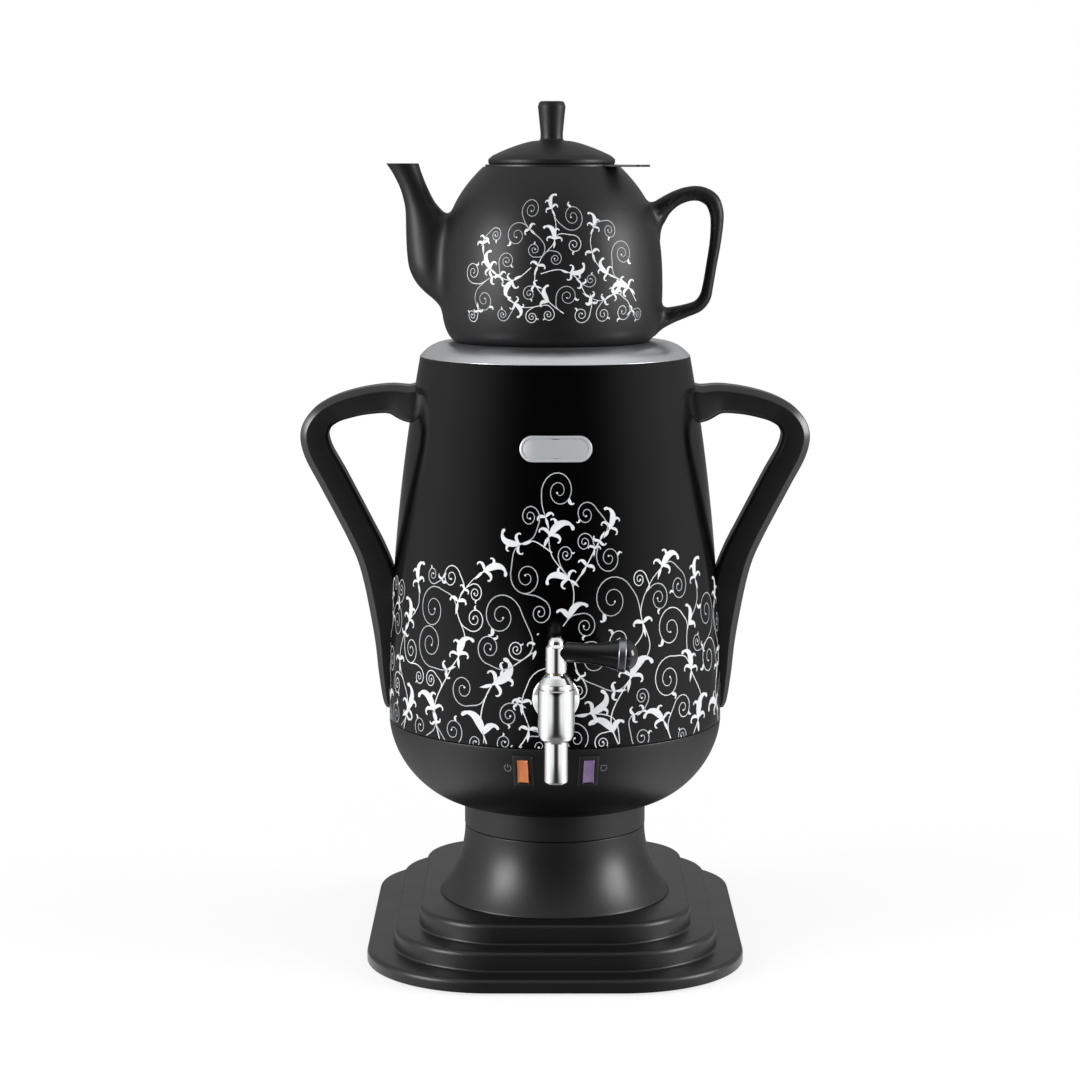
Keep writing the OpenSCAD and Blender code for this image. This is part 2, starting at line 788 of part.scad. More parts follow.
module top_ring() {
    dome_centre = [ring_flat_r, z_seat - ring_dome_r];
    spigot_r = jacket_top_r - jacket_t - fit - ring_t;
    color("#c9cbce") rotate_extrude() {
        intersection() {
            difference() {
                translate(dome_centre) circle(ring_dome_r, $fn = 180);
                translate(dome_centre) circle(ring_dome_r - ring_t, $fn = 180);
            }
            translate([ring_flat_r, z_jacket]) square([ring_dome_r, ring_rise]);
        }
        translate([mouth_r, z_seat - ring_t]) square([ring_flat_r - mouth_r, ring_t]);
        translate([spigot_r - ring_t, z_jacket - ring_skirt_h]) square([ring_t, ring_skirt_h + ring_t]);
    }
}

// Tube brazed under the ring's flat: it leads into the tank's neck and carries the gasket
module mouth_collar() {
    color("#c9cbce") translate([0, 0, z_shoulder - ring_skirt_h])
        tube(mouth_r + ring_t, mouth_r, z_seat - ring_t - z_shoulder + ring_skirt_h);
}

module tank_gasket() {
    color("#d8d4cc") translate([0, 0, z_seat - ring_t - gasket_h])
        tube(tank_mouth_r, mouth_r + ring_t, gasket_h);
}

// The tank is welded from a base disc, a rolled wall and a pressed shoulder with its neck
module tank_floor() {
    color("#b4b7ba") translate([0, 0, z_floor]) cylinder(h = tank_t, r = tank_r + tank_t);
}

module tank_shoulder() {
    color("#b4b7ba") rotate_extrude() polygon([
        [tank_top_r, z_shoulder], [tank_mouth_r + tank_t, z_shoulder],
        [tank_mouth_r + tank_t, z_seat - ring_t], [tank_mouth_r, z_seat - ring_t],
        [tank_mouth_r, z_shoulder - tank_t], [tank_top_r, z_shoulder - tank_t]
    ]);
}

module tank_wall() {
    color("#b4b7ba") difference() {
        rotate_extrude() polygon([
            [tank_r + tank_t, z_floor + tank_t], [tank_r + tank_t, z_floor + tank_straight_h],
            [tank_top_r + tank_t, z_shoulder], [tank_top_r, z_shoulder],
            [tank_top_r, z_shoulder - tank_t], [tank_r, z_floor + tank_straight_h],
            [tank_r, z_floor + tank_t]
        ]);
        along_shank() translate([0, 0, heater_r])
            cylinder(h = tap_reach - heater_r, r = shank_r + screw_play);
    }
}

// Heating

module heater_plate() {
    color("#a3a6a8") translate([0, 0, z_floor - heater_t]) cylinder(h = heater_t, r = heater_r);
}

module heating_element() {
    color("#6e6a66") {
        rotate([0, 0, element_start]) rotate_extrude(angle = element_angle) intersection() {
            translate([element_ring_r, z_element]) circle(element_r);
            translate([element_ring_r - element_r, z_element - element_r])
                square([2 * element_r, 2 * element_r - element_flat]);
        }
        for (a = [element_start, element_start + element_angle]) rotate([0, 0, a]) {
            translate([element_ring_r, 0, z_element - element_r - cold_end_h])
                cylinder(h = element_r + cold_end_h, r = cold_end_r);
            translate([element_ring_r, 0, z_element - element_r - cold_end_h - blade_h / 2])
                centred_block(blade_w, -blade_t / 2, blade_t / 2, blade_h);
        }
    }
}

module thermostat(y) {
    translate([0, y, z_floor - heater_t - thermostat_h]) {
        cylinder(h = thermostat_h, r = thermostat_r);
        for (s = [-1, 1]) translate([s * thermostat_blade_x, 0, -blade_h / 2])
            centred_block(blade_t, -blade_w / 2, blade_w / 2, blade_h);
    }
}

module boil_thermostat() {
    color("#7d6a4f") thermostat(thermostat_y);
}

module warm_thermostat() {
    color("#5d5a56") thermostat(-thermostat_y);
}

module thermal_fuse() {
    color("#d9d2c0") translate([fuse_x, 0, z_floor - heater_t - fuse_r]) {
        rotate([90, 0, 0]) cylinder(h = fuse_l, r = fuse_r, center = true);
        translate([-fuse_r - fuse_clip_t, -fuse_l / 4, 0])
            cube([2 * (fuse_r + fuse_clip_t), fuse_l / 2, fuse_r]);
    }
}

module clamp_bridge() {
    color("#9da0a3") difference() {
        union() {
            translate([-bridge_x, -bridge_w / 2, z_bridge]) cube([2 * bridge_x, bridge_w, bridge_t]);
            for (s = [0, 1]) mirror([s, 0, 0]) {
                translate([bridge_x - bridge_t, -bridge_w / 2, z_bridge])
                    cube([bridge_t, bridge_w, bridge_drop]);
                translate([bridge_x - bridge_t, -bridge_w / 2, z_floor - bridge_t])
                    cube([bridge_foot, bridge_w, bridge_t]);
            }
        }
        translate([0, 0, z_bridge - cut]) cylinder(h = bridge_t + 2 * cut, r = rod_r + screw_play);
    }
}

module tie_rod() {
    low = z_top_plate - washer_t - nut_h - rod_end;
    high = z_bridge + bridge_t + nut_h + rod_end;
    color("#a9acae") translate([0, 0, low]) cylinder(h = high - low, r = rod_r);
}

module tie_washer() {
    color("#b9bcbf") translate([0, 0, z_top_plate - washer_t])
        tube(washer_r, rod_r + screw_play, washer_t);
}

module tie_nuts() {
    color("#b9bcbf") {
        translate([0, 0, z_top_plate - washer_t - nut_h]) hex_nut(nut_r, rod_r, nut_h);
        translate([0, 0, z_bridge + bridge_t]) hex_nut(nut_r, rod_r, nut_h);
    }
}

// Side handles

handle_path = smooth_stations(
    [
        for (s = handle_stations) let (
            reach = s[0] > handle_bend ? handle_bend + (s[0] - handle_bend) * handle_stretch : s[0]
        ) [handle_x + reach, handle_z + s[1] * handle_rise, s[2] * handle_broad, s[3]]
    ],
    2
);

module side_handle() {
    difference() {
        skin([
            for (i = [0 : len(handle_path) - 1]) let (s = handle_path[i])
                ring_points(s[0], s[1], path_side(handle_path, i), s[2], s[3] * handle_depth / 2,
                    handle_power, handle_ring_n)
        ]);
        jacket_volume();
        for (z = [upper_screw_z, lower_screw_z]) translate([tank_top_r, 0, z])
            rotate([0, 90, 0]) cylinder(h = jacket_wall_at(z) - tank_top_r + handle_screw_depth, r = screw_r);
    }
}

// Radius of the jacket at a height: its outer face, or a face that lies "inset" further in
function jacket_wall_at(z, inset = 0) =
    jacket_foot_r - jacket_arc_r + sqrt(pow(jacket_arc_r - inset, 2) - pow(z - z_seam, 2));

module left_handle() {
    color("#18191b") mirror([1, 0, 0]) side_handle();
}

module right_handle() {
    color("#18191b") side_handle();
}

module handle_screws() {
    color("#b9bcbf") for (s = [0, 1], z = [upper_screw_z, lower_screw_z]) mirror([s, 0, 0])
        translate([jacket_wall_at(z + head_r, jacket_t) - head_relief, 0, z])
            rotate([0, 90, 0]) screw(handle_screw_depth);
}

// Tap

module at_tap() {
    translate([0, -tap_reach, 0]) children();
}

// Along the shank, with z = 0 on the body's axis and +z towards the front
module along_shank() {
    translate([0, 0, z_tap]) rotate([90, 0, 0]) children();
}

module tap_escutcheon() {
    color("#dfe1e3") difference() {
        along_shank() translate([0, 0, jacket_foot_r - escutcheon_sink]) cylinder(
            h = escutcheon_sink + escutcheon_t,
            r1 = escutcheon_r + escutcheon_taper * escutcheon_sink,
            r2 = escutcheon_r - escutcheon_taper * escutcheon_t
        );
        translate([0, 0, z_tap - seat_reach]) cylinder(
            h = 2 * seat_reach, r1 = jacket_wall_at(z_tap - seat_reach) + seat_relief,
            r2 = jacket_wall_at(z_tap + seat_reach) + seat_relief, $fn = seat_fn
        );
        along_shank() cylinder(h = tap_reach, r = shank_r + screw_play);
    }
}

shank_shoulder = tank_r + tank_t + tap_washer_t;
shank_low = tank_r - tap_washer_t - tap_nut_h - shank_end;

module tap_shank() {
    color("#c8cacc") along_shank() difference() {
        union() {
            translate([0, 0, shank_low]) cylinder(h = tap_reach - shank_socket - shank_low, r = shank_r);
            translate([0, 0, shank_shoulder]) cylinder(h = shoulder_t, r = shoulder_r);
        }
        cylinder(h = tap_reach, r = water_r);
    }
}

module tap_washer_outer() {
    color("#1b1b1b") difference() {
        along_shank() translate([0, 0, tank_r - tap_washer_t])
            cylinder(h = shank_shoulder - tank_r + tap_washer_t, r = tap_washer_r);
        along_shank() cylinder(h = tap_reach, r = shank_r);
        tank_volume(tank_r + tank_t);
    }
}

module tap_washer_inner() {
    color("#1b1b1b") difference() {
        intersection() {
            along_shank() translate([0, 0, tank_r - tap_washer_t])
                cylinder(h = 2 * tap_washer_t, r = tap_washer_r);
            tank_volume(tank_r);
        }
        along_shank() cylinder(h = tap_reach, r = shank_r);
    }
}

module tap_nut() {
    color("#b9bcbf") along_shank() translate([0, 0, tank_r - tap_washer_t - tap_nut_h])
        hex_nut(shoulder_r, shank_r, tap_nut_h);
}

module tap_body() {
    steps = 10;
    rounding = [
        for (i = [0 : steps]) let (a = 90 * i / steps)
            [
                barrel_foot_r + (barrel_r - barrel_foot_r) * cos(a),
                z_tap - barrel_down - barrel_round * sin(a)
            ]
    ];
    color("#e6e8ea") difference() {
        union() {
            at_tap() rotate_extrude() polygon(concat(
                [[0, z_barrel_top], [barrel_r, z_barrel_top]], rounding, [[0, z_barrel_end]]
            ));
            along_shank() translate([0, 0, tap_boss_from])
                cylinder(h = tap_reach - tap_boss_from, r = tap_boss_r);
        }
        at_tap() {
            translate([0, 0, z_tap - chamber_down])
                cylinder(h = chamber_down + barrel_up + cut, r = plug_r + running);
            translate([0, 0, z_tap + chamber_up]) cylinder(h = barrel_up, r = bonnet_spigot_r);
            translate([0, 0, z_barrel_end - cut]) cylinder(h = barrel_down + barrel_round, r = nozzle_bore_r);
            translate([0, 0, z_barrel_end - cut]) cylinder(h = nozzle_socket + cut, r = nozzle_socket_r);
        }
        along_shank() {
            cylinder(h = tap_reach - shank_socket, r = shank_r);
            cylinder(h = tap_reach, r = water_r);
        }
    }
}

module tap_nozzle() {
    lip = 1.2;
    color("#e6e8ea") at_tap() rotate_extrude() polygon([
        [nozzle_bore_r, z_barrel_end + nozzle_socket], [nozzle_socket_r, z_barrel_end + nozzle_socket],
        [nozzle_socket_r, z_barrel_end], [nozzle_r, z_barrel_end],
        [nozzle_r - 0.2, z_barrel_end - nozzle_l + lip], [nozzle_r - 0.2 - lip, z_barrel_end - nozzle_l],
        [nozzle_bore_r, z_barrel_end - nozzle_l]
    ]);
}

module tap_bonnet() {
    collar_r = barrel_r - 0.6;
    color("#e6e8ea") at_tap() rotate_extrude() polygon([
        [stem_r + running, z_tap + chamber_up], [bonnet_spigot_r, z_tap + chamber_up],
        [bonnet_spigot_r, z_barrel_top], [collar_r, z_barrel_top],
        [collar_r, z_barrel_top + bonnet_collar_h], [bonnet_top_r, z_bonnet_top],
        [stem_r + running, z_bonnet_top]
    ]);
}

// The plug opens downwards, and its side port meets the shank when the lever points to the front
module tap_plug() {
    plug_low = z_tap - chamber_down + cap_gap;
    plug_high = z_tap + chamber_up - cap_gap;
    color("#b88a3e") at_tap() difference() {
        union() {
            translate([0, 0, plug_low]) cylinder(h = plug_high - plug_low, r = plug_r);
            translate([0, 0, plug_high]) cylinder(h = z_cap + cap_socket_h - plug_high, r = stem_r);
        }
        translate([0, 0, plug_low - cut]) cylinder(h = z_tap - plug_low + cut, r = water_r);
        translate([0, 0, z_tap]) rotate([0, -90, 0]) cylinder(h = plug_r + cut, r = water_r);
    }
}

// Along the lever, with z = 0 on the tap's axis
module along_lever() {
    at_tap() translate([0, 0, z_lever]) rotate([0, 90 + lever_droop, 0]) children();
}

module tap_cap() {
    color("#e6e8ea") difference() {
        at_tap() rotate_extrude() polygon([
            [0, z_cap], [cap_r - 0.5, z_cap], [cap_r, z_cap + 0.5], [cap_r, z_cap + cap_h - 1.2],
            [cap_dome_r + 0.3, z_cap + cap_h],
            for (i = [0 : 8]) let (a = 90 * i / 8)
                [cap_dome_r * cos(a), z_cap + cap_h + cap_dome_h * sin(a)]
        ]);
        at_tap() translate([0, 0, z_cap - cut]) cylinder(h = cap_socket_h + cut, r = stem_r);
        along_lever() cylinder(h = cap_r * 2, r = pin_r);
    }
}

module lever_pin() {
    color("#a9acae") along_lever() cylinder(h = pin_l, r = pin_r);
}

// The lever's bar flares towards the ring along a quarter wave
module tap_lever() {
    straight = 0.42;
    bar = [
        for (i = [0 : 16]) let (t = i / 16, w = max(0, (t - straight) / (1 - straight)))
            [lever_r + (lever_flare_r - lever_r) * (1 - cos(90 * w)), t * lever_flare_at]
    ];
    color("#141516") difference() {
        along_lever() rotate_extrude() polygon(concat([[pin_r, 0]], bar, [[pin_r, lever_flare_at]]));
        at_tap() translate([0, 0, z_cap - cut]) cylinder(h = cap_h + cap_dome_h, r = cap_r + running);
    }
}

module lever_ring() {
    color("#8f9296") along_lever() translate([0, 0, lever_flare_at]) tube(lever_ring_r, pin_r, lever_ring_l);
}

module lever_end() {
    color("#141516") along_lever() difference() {
        rotate_extrude() polygon(concat(
            [[0, lever_flare_at + lever_ring_l]],
            [
                for (i = [0 : 10]) let (a = 90 * i / 10)
                    [(lever_flare_r - 0.3) * cos(a), lever_flare_at + lever_ring_l + lever_end_l * sin(a)]
            ]
        ));
        cylinder(h = pin_l, r = pin_r);
    }
}

// Switches

module switch_body(side) {
    case_back = switch_depth;
    at_switch(side) difference() {
        union() {
            centred_block(case_w, 0, case_back, case_h);
            centred_block(bezel_w, -bezel_proud, bezel_sink, bezel_h);
        }
        centred_block(window_w, -bezel_proud - cut, case_back - switch_wall, window_h);
        translate([0, pivot_depth, 0])
            rotate([0, 90, 0]) cylinder(h = case_w + bezel_side, r = pivot_r + running, center = true);
    }
}

module left_switch_body() {
    color("#111112") switch_body(-1);
}

module right_switch_body() {
    color("#111112") switch_body(1);
}

module switch_terminals() {
    color("#b59a5b") for (side = [-1, 1], s = [-1, 0, 1]) at_switch(side)
        translate([0, 0, s * terminal_z])
            centred_block(blade_w, switch_depth, switch_depth + blade_h, blade_t);
}

// The rocker rests in its off position, half the throw away from level
module rocker(side) {
    at_switch(side) translate([0, pivot_depth, 0]) rotate([-rocker_throw / 2, 0, 0]) {
        difference() {
            intersection() {
                rotate([0, 90, 0]) cylinder(h = rocker_w, r = rocker_r, center = true);
                centred_block(rocker_w + cut, -rocker_front, rocker_back, 3 * rocker_r);
            }
            translate([-rocker_w, rocker_dish - rocker_front - rocker_dish_r, 0])
                rotate([0, 90, 0]) cylinder(h = 2 * rocker_w, r = rocker_dish_r);
        }
        rotate([0, 90, 0]) cylinder(h = case_w - 2 * fit, r = pivot_r, center = true);
    }
}

module left_rocker() {
    color("#e0662e") rocker(-1);
}

module right_rocker() {
    color("#7a5f9e") rocker(1);
}

// Mains inlet

module at_inlet() {
    translate([0, inlet_face_y, z_inlet]) children();
}

module mains_inlet() {
    color("#161616") at_inlet() difference() {
        union() {
            centred_block(inlet_flange_w, 0, inlet_flange_t, inlet_flange_h);
            centred_block(inlet_w, -inlet_depth, inlet_flange_t, inlet_h);
        }
        centred_block(
            inlet_w - 2 * inlet_wall, inlet_wall - inlet_depth, inlet_flange_t + cut, inlet_h - 2 * inlet_wall
        );
        for (p = inlet_pin_places) translate([p[0], 0, p[1]])
            centred_block(pin_w, -inlet_depth - cut, -inlet_depth + inlet_wall + cut, pin_h);
        for (s = [-1, 1]) translate([s * inlet_screw_x, inlet_flange_t + cut, 0])
            rotate([90, 0, 0]) cylinder(h = inlet_flange_t + 2 * cut, r = screw_hole_r);
    }
}

module inlet_pins() {
    color("#c9b27a") at_inlet() for (p = inlet_pin_places) translate([p[0], 0, p[1]])
        centred_block(pin_w, -inlet_depth - blade_h, -pin_inset, pin_h);
}

module inlet_screws() {
    color("#b9bcbf") at_inlet() for (s = [-1, 1]) translate([s * inlet_screw_x, inlet_flange_t, 0])
        rotate([90, 0, 0]) screw(inlet_screw_l);
}

// Teapot

module at_pot() {
    translate([-pot_offset, 0, z_seat]) children();
}

function bezier(a, b, c, d, t) =
    a * pow(1 - t, 3) + 3 * b * t * pow(1 - t, 2) + 3 * c * t * t * (1 - t) + d * pow(t, 3);

// Side view of the teapot from its foot to its mouth, moved in by inset and starting at a floor height
function pot_line(inset, floor_h) = let (
    foot = [pot_foot_r - inset, floor_h],
    belly = [pot_r - inset, 0.3 * pot_h],
    lip = [pot_mouth_r - inset, pot_h]
) concat(
    [
        for (i = [0 : 11])
            bezier(foot, foot + [5 * pot_stretch, 3 * pot_rise], belly - [0, 18 * pot_rise], belly, i / 12)
    ],
    [
        for (i = [0 : 20]) bezier(
            belly, belly + [0, 32 * pot_rise], lip + [19.8 * pot_stretch, -19 * pot_rise], lip, i / 20
        )
    ]
);

// Level rings from the outer and inner reach of the spout at each height
function spout_rings(stations) = [
    for (s = smooth_stations(stations, 2)) let (
        low = -s[1] * pot_stretch,
        high = -s[2] * pot_stretch
    ) ring_points(
        (low + high) / 2, s[0] * pot_rise, [-1, 0], (high - low) / 2, s[3] * pot_stretch,
        pot_power, pot_ring_n
    )
];

pot_handle_path = smooth_stations(
    [for (s = pot_handle_stations) [s[0] * pot_stretch, s[1] * pot_rise, s[2], s[3] * pot_stretch]],
    2
);

// Space inside the pot's outer face, to which spout and handle are fixed before firing
module pot_solid() {
    rotate_extrude() polygon(concat([[0, 0]], pot_line(0, 0), [[0, pot_h]]));
}

// Pot wall between two heights, open at both, with the holes that lead to the spout
module pot_wall_between(from_h, to_h) {
    inner = pot_line(pot_wall, pot_floor_h);
    difference() {
        intersection() {
            rotate_extrude() polygon(concat(
                [[pot_foot_r - pot_wall, 0]], pot_line(0, 0),
                [for (i = [len(inner) - 1 : -1 : 0]) inner[i]]
            ));
            translate([0, 0, from_h]) cylinder(h = to_h - from_h, r = 2 * pot_r);
        }
        skin(spout_rings(spout_channel));
    }
}

module teapot_floor() {
    color("#1d1e20") at_pot() translate([0, 0, pot_recess])
        cylinder(h = pot_wall, r = pot_foot_r - pot_wall);
}

module teapot_body() {
    color("#1d1e20") at_pot() pot_wall_between(0, pot_shoulder_h);
}

module teapot_shoulder() {
    color("#1d1e20") at_pot() pot_wall_between(pot_shoulder_h, pot_h);
}

module teapot_spout() {
    color("#1d1e20") at_pot() difference() {
        skin(spout_rings(spout_stations));
        pot_solid();
        skin(spout_rings(spout_channel));
    }
}

module teapot_handle() {
    color("#1d1e20") at_pot() difference() {
        skin([
            for (i = [0 : len(pot_handle_path) - 1]) let (s = pot_handle_path[i])
                ring_points(s[0], s[1], path_side(pot_handle_path, i), s[2], s[3], pot_power, pot_ring_n)
        ]);
        pot_solid();
    }
}

module infuser_rim() {
    color("#101011") at_pot() translate([0, 0, pot_h]) {
        tube(rim_r, basket_r, rim_t);
        rotate([0, 0, tab_turn]) {
            tab_low = (basket_r + rim_r) / 2;
            translate([tab_low, -tab_w / 2, 0]) cube([tab_reach - tab_low, tab_w, tab_t]);
            rotate([90, 0, 0]) translate([0, 0, -lug_w / 2]) linear_extrude(lug_w) polygon([
                [lug_in, tab_t / 2], [lug_in, -lug_edge_h], [lug_in + lug_h - lug_edge_h, -lug_h],
                [lug_in + lug_h + lug_foot, -lug_h], [lug_in + lug_h + lug_foot, tab_t / 2]
            ]);
        }
    }
}

module infuser_basket() {
    color("#a7aaad") at_pot() translate([0, 0, pot_h - basket_h]) difference() {
        cylinder(h = basket_h + rim_t, r = basket_r);
        translate([0, 0, basket_t]) cylinder(h = basket_h + rim_t, r = basket_r - basket_t);
        for (row = [1 : basket_rows], k = [0 : basket_columns - 1])
            rotate([0, 0, 360 * (k + row / 2) / basket_columns])
                translate([basket_r - basket_t - cut, 0, row * basket_h / (basket_rows + 2)])
                    rotate([0, 90, 0]) cylinder(h = basket_t + 2 * cut, r = basket_hole_r, $fn = 24);
    }
}

module teapot_lid() {
    dome = [
        for (i = [0 : 14]) let (t = i / 14)
            bezier([lid_r - 1.2, lid_edge_h], [lid_r - 8, lid_edge_h + 0.42 * lid_rise],
                [lid_crown_r, lid_edge_h + lid_rise], [knob_neck_r, lid_edge_h + lid_rise], t)
    ];
    z_knob = lid_edge_h + lid_rise;
    color("#1d1e20") at_pot() translate([0, 0, pot_h + rim_t]) rotate_extrude() polygon(concat(
        [[0, -lid_flange_h], [lid_flange_r, -lid_flange_h], [lid_flange_r, 0], [lid_r - 0.6, 0],
            [lid_r, 1.2], [lid_r, lid_edge_h - 1.4]],
        dome,
        [[knob_neck_r, z_knob + knob_neck_h], [knob_r - 0.6, z_knob + 0.6 * knob_h],
            [knob_r, z_knob + knob_h - 3],
            [knob_r - 0.6, z_knob + knob_h - 1], [knob_r - 2.4, z_knob + knob_h], [0, z_knob + knob_h]]
    ));
}

foot_ring();
base_plate();
base_screws();
base_plinth();
neck_screws();
neck_pedestal();
bowl_housing();
body_jacket();
badge_plate();
top_ring();
mouth_collar();
tank_gasket();
tank_shoulder();
tank_wall();
tank_floor();
heater_plate();
heating_element();
boil_thermostat();
warm_thermostat();
thermal_fuse();
clamp_bridge();
tie_rod();
tie_washer();
tie_nuts();
left_handle();
right_handle();
handle_screws();
tap_escutcheon();
tap_shank();
tap_washer_outer();
tap_washer_inner();
tap_nut();
tap_body();
tap_nozzle();
tap_bonnet();
tap_plug();
tap_cap();
lever_pin();
tap_lever();
lever_ring();
lever_end();
left_switch_body();
right_switch_body();
switch_terminals();
left_rocker();
right_rocker();
mains_inlet();
inlet_pins();
inlet_screws();
teapot_floor();
teapot_body();
teapot_shoulder();
teapot_spout();
teapot_handle();
infuser_rim();
infuser_basket();
teapot_lid();
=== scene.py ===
import math

import bpy
import numpy as np
from mathutils import Matrix, Vector


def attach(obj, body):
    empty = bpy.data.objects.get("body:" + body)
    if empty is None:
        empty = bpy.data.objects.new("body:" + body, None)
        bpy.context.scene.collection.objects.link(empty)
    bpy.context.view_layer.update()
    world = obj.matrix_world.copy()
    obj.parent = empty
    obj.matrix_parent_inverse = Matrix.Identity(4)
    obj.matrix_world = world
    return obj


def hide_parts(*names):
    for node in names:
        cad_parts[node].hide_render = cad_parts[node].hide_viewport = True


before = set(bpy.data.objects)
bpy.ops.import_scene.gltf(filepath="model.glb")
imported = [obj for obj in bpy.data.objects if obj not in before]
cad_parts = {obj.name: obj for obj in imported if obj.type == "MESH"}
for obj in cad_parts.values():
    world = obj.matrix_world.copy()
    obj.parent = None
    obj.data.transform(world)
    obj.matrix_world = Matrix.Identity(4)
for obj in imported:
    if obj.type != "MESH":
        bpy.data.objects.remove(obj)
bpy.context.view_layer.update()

print("frame loaded:", len(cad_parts), "nodes")

# Sizes below are millimetres; makeMesh turns them into metres


# ---- small helpers

def hexColour(code):
    parts = [int(code[i:i + 2], 16) / 255 for i in (1, 3, 5)]
    return tuple(p / 12.92 if p <= 0.04045 else ((p + 0.055) / 1.055) ** 2.4 for p in parts) + (1.0,)


def addNode(tree, kind, values=None, links=None, **settings):
    node = tree.nodes.new(kind)
    for key, value in settings.items():
        setattr(node, key, value)
    for key, value in (values or {}).items():
        node.inputs[key].default_value = value
    for key, source in (links or {}).items():
        tree.links.new(source, node.inputs[key])
    return node


def feed(tree, socket, term):
    # a term is a number or another node's output
    if isinstance(term, (int, float)):
        socket.default_value = term
    else:
        tree.links.new(term, socket)


def mathNode(tree, operation, *terms):
    node = addNode(tree, "ShaderNodeMath", operation=operation)
    for socket, term in zip(node.inputs, terms):
        feed(tree, socket, term)
    return node.outputs[0]


def mixNode(tree, factor, off, on):
    node = addNode(tree, "ShaderNodeMix", data_type="FLOAT")
    for key, term in (("Factor", factor), ("A", off), ("B", on)):
        feed(tree, node.inputs[key], term)
    return node.outputs[0]


def rangeNode(tree, source, low, high, toLow=0.0, toHigh=1.0, **settings):
    limits = {"From Min": low, "From Max": high, "To Min": toLow, "To Max": toHigh}
    return addNode(tree, "ShaderNodeMapRange", limits, {"Value": source}, **settings).outputs["Result"]


def apartNode(tree, source):
    return addNode(tree, "ShaderNodeSeparateXYZ", links={0: source}).outputs


def placeObject(name, data):
    thing = bpy.data.objects.new(name, data)
    bpy.context.scene.collection.objects.link(thing)
    return thing


def moveBy(x, y, z):
    return Matrix.Translation((x * 0.001, y * 0.001, z * 0.001))


def turnBy(degrees, axis):
    return Matrix.Rotation(math.radians(degrees), 4, axis)


def makeMesh(name, points, faces, sharpAngle=33):
    points = np.asarray(points, float) * 0.001
    mesh = bpy.data.meshes.new(name)
    mesh.from_pydata(points.tolist(), [], [list(map(int, f)) for f in faces])
    mesh.update()
    piece = placeObject(name, mesh)
    tidyMesh(piece, sharpAngle)
    return piece


def pointsOf(mesh):
    places = np.zeros(len(mesh.vertices) * 3)
    mesh.vertices.foreach_get("co", places)
    return places.reshape(-1, 3)


def signedVolume(mesh):
    mesh.calc_loop_triangles()
    corners = np.zeros(len(mesh.loop_triangles) * 3, np.int64)
    mesh.loop_triangles.foreach_get("vertices", corners)
    a, b, c = pointsOf(mesh)[corners.reshape(-1, 3)].transpose(1, 0, 2)
    return float(np.einsum("ij,ij->i", a, np.cross(b, c)).sum())


def tidyMesh(piece, sharpAngle=33):
    mesh = piece.data
    if signedVolume(mesh) < 0:
        mesh.flip_normals()
    mesh.polygons.foreach_set("use_smooth", [True] * len(mesh.polygons))
    mesh.set_sharp_from_angle(angle=math.radians(sharpAngle))
    mesh.update()


def roundLine(corners, steps=5, loop=False):
    # a corner given as (r, z, radius) becomes an arc
    line = []
    for i, corner in enumerate(corners):
        here = np.array(corner[:2], float)
        radius = corner[2] if len(corner) > 2 else 0
        if radius <= 0 or (not loop and i in (0, len(corners) - 1)):
            line.append(here)
            continue
        back = np.array(corners[i - 1][:2], float) - here
        ahead = np.array(corners[(i + 1) % len(corners)][:2], float) - here
        backLength, aheadLength = np.linalg.norm(back), np.linalg.norm(ahead)
        back, ahead = back / backLength, ahead / aheadLength
        half = math.acos(float(np.clip(back @ ahead, -0.99999, 0.99999))) / 2
        run = min(radius / math.tan(half), 0.49 * backLength, 0.49 * aheadLength)
        radius = run * math.tan(half)
        middle = (back + ahead) / np.linalg.norm(back + ahead)
        centre = here + middle * radius / math.sin(half)
        start, end = here + back * run - centre, here + ahead * run - centre
        sweep = math.pi - 2 * half
        for k in range(steps + 1):
            t = k / steps
            swung = start * math.sin((1 - t) * sweep) + end * math.sin(t * sweep)
            line.append(centre + swung / math.sin(sweep))
    return np.array(line)


def lathe(name, line, count=144, centre=(0, 0), sharpAngle=33):
    turn = np.arange(count) * 2 * math.pi / count
    points, rows = [], []
    for r, z in line:
        first = len(points)
        if r < 1e-6:
            rows.append([first])
            points.append((centre[0], centre[1], z))
        else:
            rows.append(list(range(first, first + count)))
            points += list(zip(centre[0] + r * np.cos(turn), centre[1] + r * np.sin(turn),
                               np.full(count, z)))
    faces = []
    closed = line[0][0] > 1e-6 and line[-1][0] > 1e-6
    for i in range(len(rows) - (0 if closed else 1)):
        low, high = rows[i], rows[(i + 1) % len(rows)]
        for k in range(count):
            m = (k + 1) % count
            if len(low) == 1 and len(high) == 1:
                continue
            if len(low) == 1:
                faces.append((low[0], high[m], high[k]))
            elif len(high) == 1:
                faces.append((low[k], low[m], high[0]))
            else:
                faces.append((low[k], low[m], high[m], high[k]))
    return makeMesh(name, points, faces, sharpAngle)


def loft(name, loops, sharpAngle=33):
    loops = [np.asarray(loop, float) for loop in loops]
    n = len(loops[0])
    points = np.concatenate(loops)
    faces = []
    for i in range(len(loops) - 1):
        for k in range(n):
            m = (k + 1) % n
            faces.append((i * n + k, i * n + m, (i + 1) * n + m, (i + 1) * n + k))
    faces.append(tuple(range(n - 1, -1, -1)))
    faces.append(tuple(range((len(loops) - 1) * n, len(loops) * n)))
    return makeMesh(name, points, faces, sharpAngle)


def combine(piece, other, how="DIFFERENCE"):
    change = piece.modifiers.new(how, "BOOLEAN")
    change.object, change.operation, change.solver = other, how, "MANIFOLD"
    freezeModifiers(piece)
    bpy.data.objects.remove(other)


